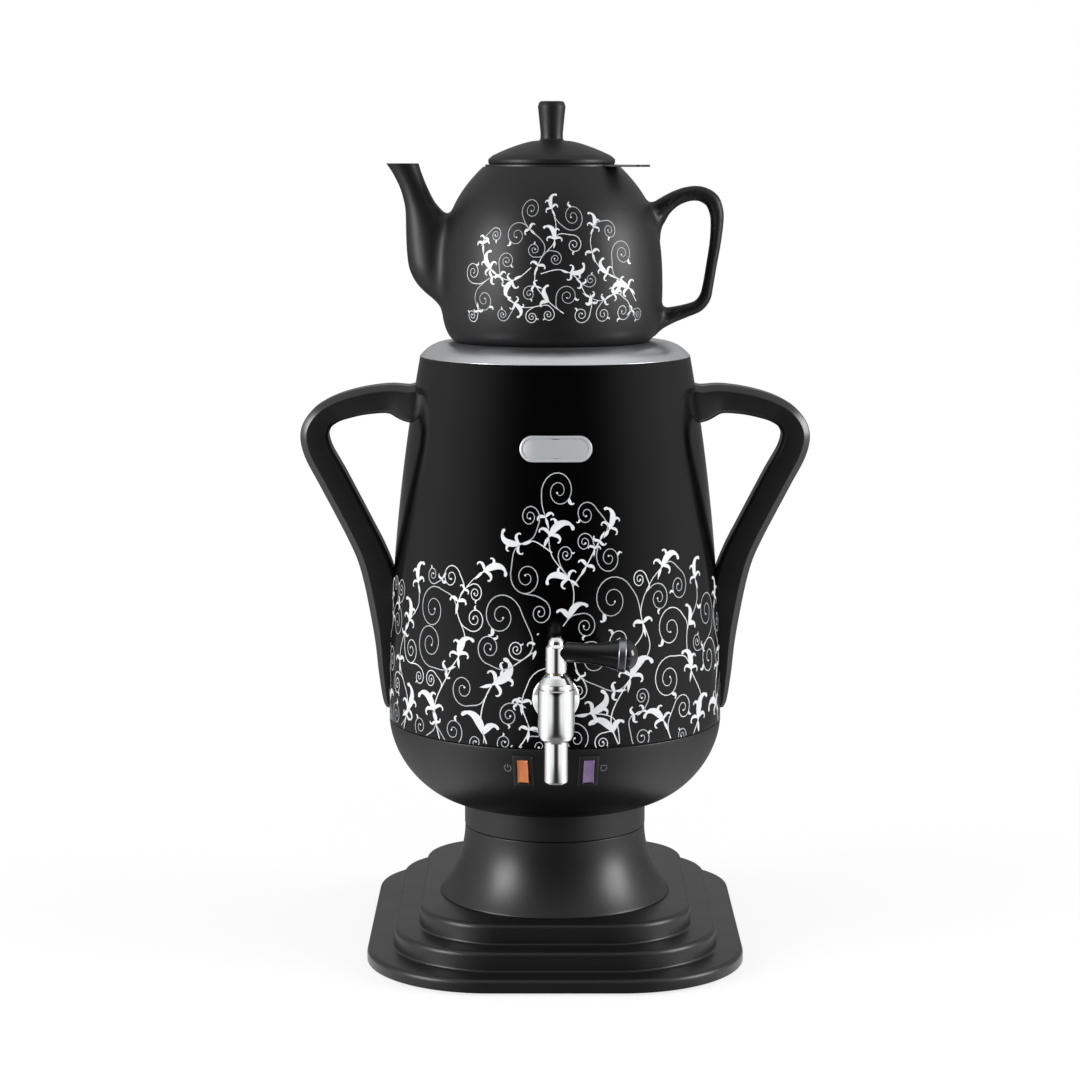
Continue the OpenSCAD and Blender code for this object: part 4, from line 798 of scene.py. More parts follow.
def makeLever():
    v = lever
    rows = [(v["pin"], 0)]
    for t in np.linspace(0, 1, 22):
        w = max(0, (t - v["straight"]) / (1 - v["straight"]))
        swell = (v["flare"] - v["radius"]) * (1 - math.cos(w * math.pi / 2))
        rows.append((v["radius"] + swell, t * v["length"]))
    piece = alongLever("leverBar", rows + [(v["pin"], v["length"])])
    combine(piece, lathe("core", [(0, 175), (5.65, 175), (5.65, 205), (0, 205)], 96, (0, tap["y"])))
    tidyMesh(piece, 34)
    return piece


def makeCollar():
    v = lever
    start, end = v["length"], v["length"] + v["ringLength"]
    return alongLever("leverCollar", roundLine([
        (v["pin"], start), (v["ring"], start, 0.7), (v["ring"], end, 0.7),
        (v["pin"], end)], 4, loop=True))


def makeKnob():
    v = lever
    start = v["length"] + v["ringLength"]
    dome = [(v["endRadius"] * math.cos(a), start + v["endLength"] * math.sin(a))
            for a in np.linspace(0, math.pi / 2, 14)[:-1]]
    hollow = [(0, start + v["pinRoom"]), (v["pin"], start + v["pinRoom"]), (v["pin"], start)]
    return alongLever("leverKnob", hollow + dome + [(0, start + v["endLength"])])


rideOn(makeLever(), "tap_turner", "lever_plastic", "tap_lever")
rideOn(makeCollar(), "tap_turner", "lever_steel", "lever_ring")
rideOn(makeKnob(), "tap_turner", "lever_plastic", "lever_end")
print("tap made")

# ---- teapot: body, spout and handle blended by a distance field, then hollowed cleanly

pot = {
    "x": -2, "seat": 347, "height": 97, "foot": 54, "belly": 62, "mouth": 38.2, "wall": 4, "recess": 2,
    "throat": 34.2, "spoutHeight": 98.8, "blend": 7, "voxel": 1.5,
    # height, outer reach, inner reach, half depth
    "spout": [(19, 59, 50, 8), (23, 65, 50, 11), (27.6, 71, 50, 13), (33.3, 76, 50, 14.5),
              (40.4, 79.4, 50, 15), (49, 80.7, 50, 14), (60, 81.2, 52, 12), (71.6, 81.4, 60.2, 9.6),
              (78, 82.3, 65.3, 8.4), (85.7, 84.6, 69.2, 7.7), (93.4, 88.4, 72.3, 7.4),
              (98.8, 92, 74, 7.6), (104, 95.5, 75.6, 7.8)],
    "channel": [(38, 75.5, 52, 10), (49, 77, 52, 10), (60, 77.6, 55.6, 8.4), (71.6, 77.8, 63.6, 6.2),
                (78, 78.8, 68.6, 5.2), (85.7, 81.1, 72.5, 4.7), (93.4, 84.8, 75.7, 4.5),
                (99.5, 89.2, 77.4, 4.7), (105, 93.2, 79, 4.9)],
    # reach, height, half width, half depth
    "grip": [(53, 66.5, 9, 6.5), (58, 70.6, 6.8, 6), (62.5, 75, 5.2, 5.6), (69, 79.4, 4.3, 5.2),
             (76.5, 82, 4.1, 5), (83.2, 81.9, 4.2, 4.9), (89, 78.6, 4.3, 4.9), (91.7, 72.6, 4, 4.9),
             (92.2, 66, 3.6, 4.9), (91.3, 55, 3.2, 4.8), (89.3, 42.5, 3, 4.8), (87.4, 31, 3, 4.8),
             (85.8, 24.5, 3.3, 4.8), (82, 19.8, 3.4, 4.9), (75.3, 17.1, 3.7, 5), (67.6, 14.8, 4.5, 5.4),
             (61, 12.6, 5.5, 6), (55.5, 11, 6.5, 6.4)],
    "power": 2.2,
}


def bezierLine(a, b, c, d, count):
    a, b, c, d = (np.array(p, float) for p in (a, b, c, d))
    t = np.linspace(0, 1, count)[:, None]
    return a * (1 - t) ** 3 + 3 * b * t * (1 - t) ** 2 + 3 * c * t * t * (1 - t) + d * t ** 3


def potLine(inset, floor):
    p = pot
    foot, belly = (p["foot"] - inset, floor), (p["belly"] - inset, 0.3 * p["height"])
    lip = (p["mouth"] - inset, p["height"])
    return np.concatenate([
        bezierLine(foot, (foot[0] + 5, foot[1] + 3), (belly[0], belly[1] - 18), belly, 14)[:-1],
        bezierLine(belly, (belly[0], belly[1] + 32), (lip[0] + 19.8, lip[1] - 19), lip, 26),
    ])


potOuter = potLine(0, 0)
potFieldLine = np.concatenate([[(44, -6)], potOuter, [(32.4, 102.6)]])


def lineDistance(q, line):
    best = np.full(len(q), 1e9)
    sign = np.ones(len(q))
    for a, b in zip(line[:-1], line[1:]):
        along = b - a
        t = np.clip(((q - a) @ along) / (along @ along), 0, 1)
        off = q - a - along * t[:, None]
        gap = np.linalg.norm(off, axis=1)
        closer = gap < best
        best[closer] = gap[closer]
        sign[closer] = np.sign(along[1] * (q - a)[:, 0] - along[0] * (q - a)[:, 1])[closer]
    return best * np.where(sign >= 0, 1, -1)


spoutRows = smoothStations(pot["spout"], 8)
gripRows = smoothStations(pot["grip"], 16)
gripAhead = np.gradient(gripRows[:, :2], axis=0)
gripAhead /= np.linalg.norm(gripAhead, axis=1)[:, None]


def squareness(u, v):
    return (np.abs(u) ** pot["power"] + np.abs(v) ** pot["power"]) ** (1 / pot["power"])


def spoutDistance(p):
    h = np.clip(p[:, 2], spoutRows[0, 0], spoutRows[-1, 0])
    outer, inner, depth = (np.interp(h, spoutRows[:, 0], spoutRows[:, k]) for k in (1, 2, 3))
    width, middle = (outer - inner) / 2, (outer + inner) / 2
    off = squareness((p[:, 0] + middle) / width, p[:, 1] / depth) - 1
    return off * np.minimum(width, depth) + np.abs(p[:, 2] - h)


def gripDistance(p):
    flat = p[:, [0, 2]]
    out = np.full(len(p), 50.0)
    near = np.where((p[:, 0] > 40) & (np.abs(p[:, 1]) < 20))[0]
    if len(near):
        gaps = ((flat[near, None, :] - gripRows[None, :, :2]) ** 2).sum(2)
        k = gaps.argmin(1)
        off = flat[near] - gripRows[k, :2]
        along = (off * gripAhead[k]).sum(1)
        across = off[:, 0] * -gripAhead[k, 1] + off[:, 1] * gripAhead[k, 0]
        width, depth = gripRows[k, 2], gripRows[k, 3]
        d = (squareness(across / width, p[near, 1] / depth) - 1) * np.minimum(width, depth)
        end = (k == 0) | (k == len(gripRows) - 1)
        out[near] = d + np.where(end, np.abs(along), 0)
    return out


def blendUnion(a, b, k):
    h = np.clip(k - np.abs(a - b), 0, None) / k
    return np.minimum(a, b) - h * h * k / 4


def potField(p):
    body = lineDistance(np.stack([np.hypot(p[:, 0], p[:, 1]), p[:, 2]], 1), potFieldLine)
    return blendUnion(blendUnion(body, spoutDistance(p), pot["blend"]), gripDistance(p), pot["blend"] * 0.7)


def fieldSlope(p, step=0.15):
    slope = np.zeros_like(p)
    for axis in range(3):
        shift = np.zeros(3)
        shift[axis] = step
        slope[:, axis] = (potField(p + shift) - potField(p - shift)) / (2 * step)
    return slope


def squareTurn(count):
    # one turn of the rounded square that spout and grip are drawn with
    turn = np.arange(count) * 2 * math.pi / count
    return [np.sign(w) * np.abs(w) ** (2 / pot["power"]) for w in (np.cos(turn), np.sin(turn))]


def spoutLoops(stations, count=40):
    u, v = squareTurn(count)
    return [np.stack([-(outer + inner) / 2 + (outer - inner) / 2 * u, depth * v, np.full(count, h)], 1)
            for h, outer, inner, depth in smoothStations(stations, 4)]


def gripLoops(count=32):
    u, v = squareTurn(count)
    return [np.stack([x - ahead[1] * (width * u), depth * v, h + ahead[0] * (width * u)], 1)
            for (x, h, width, depth), ahead in zip(gripRows, gripAhead)]


def makeTeapot():
    p = pot
    piece = lathe("stonewareTeapot", [(0, -6)] + list(potFieldLine) + [(0, 102.6)], 96)
    combine(piece, loft("spout", spoutLoops(p["spout"])), "UNION")
    combine(piece, loft("grip", gripLoops()), "UNION")
    change = piece.modifiers.new("skin", "REMESH")
    change.mode, change.voxel_size = "VOXEL", p["voxel"] * 0.001
    freezeModifiers(piece)
    mesh = piece.data
    places = pointsOf(mesh) * 1000
    for _ in range(5):  # slide every point onto the blended surface
        value, slope = potField(places), fieldSlope(places)
        step = np.clip(value / np.maximum((slope ** 2).sum(1), 0.05), -1.2, 1.2)
        inside = (places[:, 2] > -5) & (places[:, 2] < 103.4)
        places[inside] -= (step[:, None] * slope)[inside]
    mesh.vertices.foreach_set("co", (places * 0.001).ravel())
    mesh.update()
    print("  teapot skin:", len(mesh.vertices), "points")
    combine(piece, block("below", -120, 120, -90, 90, -20, 0))
    combine(piece, block("above", -70, 120, -90, 90, p["height"], 120))
    combine(piece, block("aboveSpout", -120, -69.9, -90, 90, p["spoutHeight"], 120))
    combine(piece, lathe("recess", [(0, -1), (50, -1), (50, p["recess"]), (0, p["recess"])], 128))
    floor, above = p["wall"] + p["recess"], p["height"] + 2
    cavity = [(0, floor)] + list(potLine(p["wall"], floor)) + [(p["throat"], above), (0, above)]
    combine(piece, lathe("cavity", cavity, 128))
    combine(piece, loft("channel", spoutLoops(p["channel"])))
    tidyMesh(piece, 30)

    def normalAt(places):
        slope = fieldSlope(places, 0.05)
        return slope / (np.linalg.norm(slope, axis=1)[:, None] + 1e-9)

    setTrueNormals(piece, normalAt, 32)
    piece.data.transform(moveBy(p["x"], 0, p["seat"]))
    return piece


teapotPiece = rideOn(makeTeapot(), "teapot", "teapot_glaze", "teapot_floor", "teapot_body",
                     "teapot_shoulder", "teapot_spout", "teapot_handle")

# ---- lid with its knob, and the infuser's rim with its tab

lid = {"z": 445.2, "radius": 35.3, "edge": 4.3, "rise": 8.8, "knobHeight": 21.7, "knobRadius": 7.7,
       "flangeRadius": 27.4, "flange": 6}


def makeLid():
    d = lid
    foot, r, knob = d["z"], d["radius"], d["knobRadius"]
    edge = foot + d["edge"]
    top = edge + d["rise"]
    tip = top + d["knobHeight"]
    dome = bezierLine((r - 1.2, edge), (r - 8, edge + 0.42 * d["rise"]), (14, top), (8.2, top), 20)
    corners = [(0, foot - d["flange"]), (d["flangeRadius"], foot - d["flange"], 0.8),
               (d["flangeRadius"], foot, 0.6), (r - 0.5, foot, 0.6), (r, foot + 1.2, 0.8),
               (r, edge - 1.4, 1.4)]
    corners += [tuple(q) for q in dome[1:-1]]
    corners += [(6.3, top + 0.1, 1.6), (6.2, top + 4), (knob - 0.6, top + 0.6 * d["knobHeight"], 6),
                (knob, tip - 3, 1.5), (knob - 0.9, tip, 1.8), (0, tip)]
    return lathe("stonewareLid", roundLine(corners, 5), 160, (pot["x"], 0), 40)


rideOn(makeLid(), "lid", "teapot_glaze", "teapot_lid")

infuser = {"z": 444, "thick": 1.2, "rim": 37, "hole": 29, "reach": 59, "width": 14, "tipRadius": 2.2,
           "turn": -30}


def makeInfuserRim():
    # a flat ring and its finger tab as one outline
    f = infuser
    side, r = f["width"] / 2, f["tipRadius"]
    middle = f["reach"] - r
    half = math.asin(side / f["rim"])
    outer = [(f["rim"] * math.cos(a), f["rim"] * math.sin(a))
             for a in np.linspace(half, 2 * math.pi - half, 96)]
    outer += [(middle, -side)]
    outer += [(middle + r * math.sin(a), -side + r - r * math.cos(a)) for a in np.linspace(0.3, 1.57, 5)]
    outer += [(middle + r * math.cos(a), side - r + r * math.sin(a)) for a in np.linspace(0, 1.57, 6)]
    n = len(outer)
    points = [(x, y, z) for z in (0, f["thick"]) for x, y in outer]
    faces = [tuple(range(n - 1, -1, -1)), tuple(range(n, 2 * n))]
    faces += [(k, (k + 1) % n, n + (k + 1) % n, n + k) for k in range(n)]
    piece = makeMesh("infuserRim", points, faces)
    combine(piece, lathe("hole", [(0, -2), (f["hole"], -2), (f["hole"], 3), (0, 3)], 96))
    softenEdges(piece, 0.25, 2, 40)
    piece.data.transform(moveBy(pot["x"], 0, f["z"]) @ turnBy(f["turn"], "Z"))
    return piece


rideOn(makeInfuserRim(), "infuser", "infuser_plastic", "infuser_rim")
print("teapot, lid and infuser made")

# ---- scroll ornament: strokes are rows of x, height and half width in millimetres

def walk(start, heading, bends, length):
    # a path of equal steps that turns by bends[k] before each step
    point, rows = np.array(start, float), [tuple(start)]
    step = length / len(bends)
    for bend in bends:
        heading += bend
        point = point + step * np.array([math.cos(heading), math.sin(heading)])
        rows.append(tuple(point))
    return np.array(rows)


def headings(stroke):
    ahead = np.gradient(stroke[:, :2], axis=0)
    return np.arctan2(ahead[:, 1], ahead[:, 0])


def hookStroke(start, heading, side, length, width, curl=2.6, steps=10):
    # a leaf that swells and bends over, with a rounded tip
    t = (np.arange(steps) + 0.5) / steps
    path = walk(start, heading, side * curl * 2.4 * t ** 1.4 / steps, length)
    s = np.linspace(0, 1, steps + 1)
    half = width * (0.2 + 0.8 * np.sin(math.pi * np.clip(s * 1.08, 0, 1) ** 0.8) ** 1.3)
    half[-3:] = np.array([0.46, 0.5, 0.3]) * width
    return np.column_stack([path, half])


def spindleStroke(start, heading, length, width, bend=0.0, steps=9):
    path = walk(start, heading, np.full(steps, bend / steps), length)
    s = np.linspace(0, 1, steps + 1)
    return np.column_stack([path, width * np.maximum(0.1, np.sin(math.pi * s ** 0.8))])


def acanthusStrokes(start, heading, size, side):
    # a long bent leaf with lobes thrown out along its back and one before it
    spine = hookStroke(start, heading, side, size * 1.1, size * 0.118, 2.5, 18)
    strokes = [spine, spindleStroke(start, heading + math.pi, size * 0.4, size * 0.05, -side * 0.3)]
    ahead = headings(spine)
    for at, bend, lean, reach, width, curl in ((1, -side, 1.1, 0.52, 0.052, 2.7),
                                               (6, -side, 0.6, 0.42, 0.052, 2.7),
                                               (1, side, 0.9, 0.55, 0.058, 2.9)):
        strokes.append(hookStroke(spine[at, :2], ahead[at] + bend * lean, bend, size * reach,
                                  size * width, curl))
    return strokes


def hornStrokes(start, heading, size, side):
    # a pair of broad leaves that part at the foot of a branch
    d = math.radians
    return [hookStroke(start, heading + side * d(6), side, size, size * 0.115, 2.1, 15),
            hookStroke(start, heading - side * d(38), -side, size * 0.6, size * 0.09, 2.4, 11),
            hookStroke(start, heading - side * d(8), side, size * 0.42, size * 0.05, 0.8, 8)]


def crestStrokes(start, heading, size, side):
    # two hooks and a spike where a stem forks
    d = math.radians
    return [hookStroke(start, heading + d(52), 1, size * 0.6, size * 0.085, 2.5),
            hookStroke(start, heading - d(52), -1, size * 0.6, size * 0.085, 2.5),
            spindleStroke(start, heading + math.pi, size * 0.6, size * 0.07)]


leafKinds = {"leaf": acanthusStrokes, "horn": hornStrokes, "crest": crestStrokes}


def curlStroke(start, heading, centre, radius, side, turns, width):
    # leaves its stem along the heading, bends over to touch a circle and winds into it
    to = centre - start
    gap = max(math.hypot(*to), radius * 1.02)
    aim = math.atan2(to[1], to[0]) - side * math.asin(radius / gap)
    first = aim - side * (math.pi / 2 - 0.3)
    t = np.linspace(0, 1, int(22 * turns))
    spin = first + side * 2 * math.pi * turns * t
    reach = radius * (1 - 0.86 * t ** 0.8)
    wound = centre + reach[:, None] * np.column_stack([np.cos(spin), np.sin(spin)])
    pull = 0.5 * math.hypot(*(wound[0] - start))
    leave = np.array([math.cos(heading), math.sin(heading)])
    meet = np.array([math.cos(first + side * math.pi / 2), math.sin(first + side * math.pi / 2)])
    u = np.linspace(0, 1, 9)[:-1, None]
    lead = ((1 - u) ** 3 * start + 3 * u * (1 - u) ** 2 * (start + pull * leave)
            + 3 * u * u * (1 - u) * (wound[0] - pull * meet) + u ** 3 * wound[0])
    path = np.concatenate([lead, wound])
    s = np.linspace(0, 1, len(path))
    return np.column_stack([path, width * (1.15 - 0.5 * s)])


growth = {
    "grid": 1.25, "reach": 14, "tries": 300, "scatter": 0.6, "swell": 0.12, "fill": 0.92, "turns": 1.6,
    "moreTurns": 0.35, "rootReach": 2.4, "roots": 14, "greyShare": 0.68, "hookShare": 0.7, "hookAt": 0.42,
    "crestShare": 0.45, "ball": 2.1,
}


def fieldStrokes(plants, top, area, sizes, width, seed, oval=1.18):
    # plants are stems with leaves; every free spot between them is then filled with a curl
    g = growth
    dice = np.random.default_rng(seed)
    left, right, low, high = area
    squeeze = np.array([1, 1 / oval])
    x, z = np.meshgrid(np.arange(left, right, g["grid"]), np.arange(low, high, g["grid"]) / oval)
    free = np.minimum(np.minimum(x - left, right - x), top(x) / oval - z)
    free = np.minimum(free, z - (low - 5) / oval)
    silver, grey, seeds = [], [], []

    def fill(points, margins):
        # the map of free room only changes near a stroke
        lo, hi = points.min(0) - g["reach"], points.max(0) + g["reach"]
        a, b = np.searchsorted(x[0], (lo[0], hi[0]))
        c, d = np.searchsorted(z[:, 0], (lo[1], hi[1]))
        if a < b and c < d:
            gap = np.hypot(x[c:d, a:b, None] - points[:, 0], z[c:d, a:b, None] - points[:, 1]) - margins
            free[c:d, a:b] = np.minimum(free[c:d, a:b], gap.min(2))

    def sprout(stroke):
        return np.column_stack([stroke[:, :2] * squeeze, headings(stroke * np.array([1, 1 / oval, 1]))])

    for plant in plants:
        path = smoothStations(plant["stem"], 20)
        stem = np.column_stack([path, width * np.linspace(1.4, 0.8, len(path))])[::2]
        silver.append(stem)
        fill(stem[:, :2] * squeeze, stem[:, 2] + 0.3)
        seeds.append(sprout(stem)[2:])
        ahead = headings(path)
        for place, kind, size, side, lean in plant["leaves"]:
            k = int(round(place * (len(path) - 1)))
            for stroke in leafKinds[kind](path[k], ahead[k] + math.radians(lean), size, side):
                silver.append(stroke)
                fill(stroke[::2, :2] * squeeze, stroke[::2, 2] + 0.7)
    seeds = np.concatenate(seeds)
    for size in sizes:
        for _ in range(g["tries"]):
            room = free + dice.random(free.shape) * g["scatter"]
            j, i = np.unravel_index(np.argmax(room), room.shape)
            if free[j, i] < size:
                break
            radius = min(free[j, i], size * (1 + g["swell"] * dice.random()))
            centre = np.array([x[j, i], z[j, i]])
            fill(centre[None], np.array([radius]))
            away = np.hypot(*(seeds[:, :2] - centre).T)
            near = np.where((away > radius) & (away < radius * g["rootReach"]))[0]
            if len(near) == 0:
                continue
            near = near[np.argsort(away[near])[:g["roots"]]]
            root = seeds[near[int(dice.integers(0, len(near)))]]
            aim = math.atan2(*(centre - root[:2])[::-1])
            heading = root[2] if math.cos(root[2] - aim) > -0.2 else root[2] + math.pi
            side = 1 if math.sin(aim - heading) > 0 else -1
            turns = g["turns"] + g["moreTurns"] * dice.random()
            stroke = curlStroke(root[:2], heading, centre, radius * g["fill"], side, turns, width)
            stroke = stroke / np.append(squeeze, 1)
            (grey if dice.random() < g["greyShare"] else silver).append(stroke)
            fill(stroke[:12, :2] * squeeze, stroke[:12, 2] + 0.5)
            seeds = np.concatenate([seeds, sprout(stroke)[3:16:2]])
            ahead, n = headings(stroke), int(len(stroke) * g["hookAt"])
            if dice.random() < g["hookShare"]:
                lean = ahead[n] - side * 0.5
                silver.append(hookStroke(stroke[n, :2], lean, -side, radius * 0.5, radius * 0.085))
            if dice.random() < g["crestShare"]:
                silver.extend(crestStrokes(stroke[3, :2], ahead[3], 5 + radius * 0.5, side))
            ball, across = width * g["ball"], np.linspace(-1, 1, 6)
            silver.append(np.column_stack([stroke[-1, 0] + across * ball, np.full(6, stroke[-1, 1]),
                                           ball * np.sqrt(np.clip(1 - across ** 2, 0.05, 1))]))
    return silver, grey


def stemOf(stem, leaves):
    # leaves: place along the stem, kind, size, side and lean in degrees
    return {"stem": stem, "leaves": leaves}


jacketStems = [
    stemOf([(-36, 133), (-40, 150), (-32, 170), (-10, 188), (6, 204), (9, 222), (-2, 238), (-4, 250)],
           [(0.07, "horn", 20, 1, -6), (0.27, "leaf", 19, 1, -30), (0.43, "leaf", 15, -1, 20),
            (0.58, "horn", 15, -1, 10),
            (0.74, "leaf", 15, 1, 30), (0.97, "leaf", 17, -1, -36)]),
    stemOf([(9, 222), (16, 232), (24, 246), (30, 252)],
           [(0.35, "crest", 11, 1, 0), (0.96, "leaf", 14, 1, 20)]),
    stemOf([(-2, 240), (-12, 246), (-20, 244)], [(0.9, "leaf", 15, -1, -20)]),
    stemOf([(34, 133), (29, 150), (38, 168), (52, 186), (47, 206), (54, 222), (66, 232)],
           [(0.1, "horn", 17, 1, 10), (0.36, "leaf", 19, -1, 20), (0.62, "crest", 13, 1, -10),
            (0.93, "leaf", 17, -1, 20)]),
    stemOf([(-66, 133), (-70, 152), (-60, 172), (-50, 190), (-56, 208), (-48, 222), (-38, 230)],
           [(0.14, "leaf", 18, 1, 20), (0.42, "leaf", 16, -1, 30), (0.7, "crest", 12, 1, 10),
            (0.95, "leaf", 16, -1, 0)]),
    stemOf([(84, 133), (93, 152), (82, 172), (80, 192), (91, 208), (90, 222)],
           [(0.1, "leaf", 19, -1, 30), (0.38, "leaf", 16, 1, -30), (0.64, "horn", 14, 1, 0),
            (0.95, "leaf", 15, -1, 0)]),
    stemOf([(-100, 133), (-95, 152), (-106, 172), (-98, 192), (-86, 206), (-88, 220)],
           [(0.14, "leaf", 18, 1, -30), (0.4, "crest", 13, -1, 0), (0.64, "leaf", 16, 1, 20),
            (0.95, "leaf", 15, -1, 0)]),
    stemOf([(122, 133), (114, 154), (124, 174), (114, 192), (120, 208)],
           [(0.15, "leaf", 17, 1, 30), (0.5, "crest", 13, -1, 0), (0.92, "leaf", 15, 1, 0)]),
    stemOf([(-134, 133), (-126, 154), (-136, 174), (-124, 190), (-130, 206)],
           [(0.15, "horn", 15, -1, 0), (0.5, "leaf", 16, 1, 20), (0.92, "leaf", 15, -1, 0)]),
    stemOf([(-4, 140), (10, 152), (30, 150), (34, 133)], [(0.45, "leaf", 17, 1, 20)]),
    stemOf([(66, 134), (60, 146), (50, 152), (40, 150)], [(0.3, "leaf", 16, 1, 0), (0.9, "crest", 10, 1, 0)]),
    stemOf([(-20, 133), (-14, 144), (-18, 156)], [(0.5, "crest", 11, 1, 0)]),
]


def jacketTop(x):
    # outline of the planting: a tall middle, shoulders at both sides and a low border behind
    a = np.abs(x)
    front = 220 + 66 * np.exp(-((x - 1) / 29) ** 2) + 12 * np.exp(-((a - 66) / 20) ** 2)
    behind = 186 + 6 * np.sin(x / 9)
    blend = np.clip((a - 128) / 26, 0, 1)
    blend = blend * blend * (3 - 2 * blend)
    return front * (1 - blend) + behind * blend


backStems = [
    stemOf([(m * r, 133), (m * (r + s), 148), (m * (r - 0.6 * s), 162), (m * (r + 0.4 * s), 174)],
           [(0.2, ("leaf", "horn")[k % 2], 14, m, 0), (0.7, "crest", 11, 1, 0)])
    for m in (-1, 1) for k, (r, s) in enumerate(((158, 7), (184, -7), (210, 7), (236, -7), (262, 7)))]
potStems = [
    stemOf([(6, 19), (-2, 25.7), (-9, 35.8), (-6, 48.1), (1, 57.1), (2, 67.2), (-1, 77.2)],
           [(0.16, "horn", 11, -1, 0), (0.45, "crest", 9, 1, 0), (0.68, "leaf", 11, 1, 20),
            (0.94, "leaf", 10, -1, 0)]),
    stemOf([(-11, 43.6), (-20, 36.9), (-30, 39.2), (-38, 48.1), (-40, 57.1)],
           [(0.26, "leaf", 12, 1, 30), (0.6, "leaf", 12, -1, 0), (0.95, "crest", 9, 1, 0)]),
    stemOf([(50, 24.6), (42, 34.7), (32, 39.2), (24, 45.9), (21, 57.1), (24, 66)],
           [(0.14, "leaf", 14, 1, 20), (0.42, "leaf", 11, -1, 0), (0.7, "crest", 9, 1, 0),
            (0.95, "leaf", 10, 1, 0)]),
    stemOf([(-6, 40.3), (4, 42.5), (13, 38), (18, 29.1), (26, 25.7), (34, 29.1)],
           [(0.3, "leaf", 11, 1, 20), (0.66, "crest", 8, 1, 0), (0.97, "leaf", 10, 1, 0)]),
    stemOf([(-26, 29.1), (-16, 22.4), (-4, 23.5)], [(0.3, "leaf", 10, -1, 0)]),
]


def potTop(x):
    # measured above the seat
    a = np.clip(1 - ((x - 2) / 56) ** 2, 0, 1)
    return 42 + 44 * a ** 1.3


def onGround(strokes, lowest, highest, lift=0.0, hole=None):
    # strokes thin out at the edges of their ground and leave a round hole free
    kept = []
    for stroke in strokes:
        x, z, half = stroke[:, 0], stroke[:, 1] + lift, stroke[:, 2]
        room = np.minimum(z - lowest, highest - z)
        if hole:
            room = np.minimum(room, np.hypot(x - hole[0], z - hole[1]) - hole[2])
        inside = room > 0.12
        thin = np.column_stack([x, z, np.minimum(half, np.maximum(room, 0.1))])
        for run in np.split(np.arange(len(stroke)), np.where(np.diff(inside.astype(int)))[0] + 1):
            if inside[run[0]] and len(run) > 2:
                kept.append(thin[run])
    return kept


foil = {"thickness": 0.03, "sink": 0.05, "layerStep": 0.004, "layers": 9, "rayLength": 0.3}


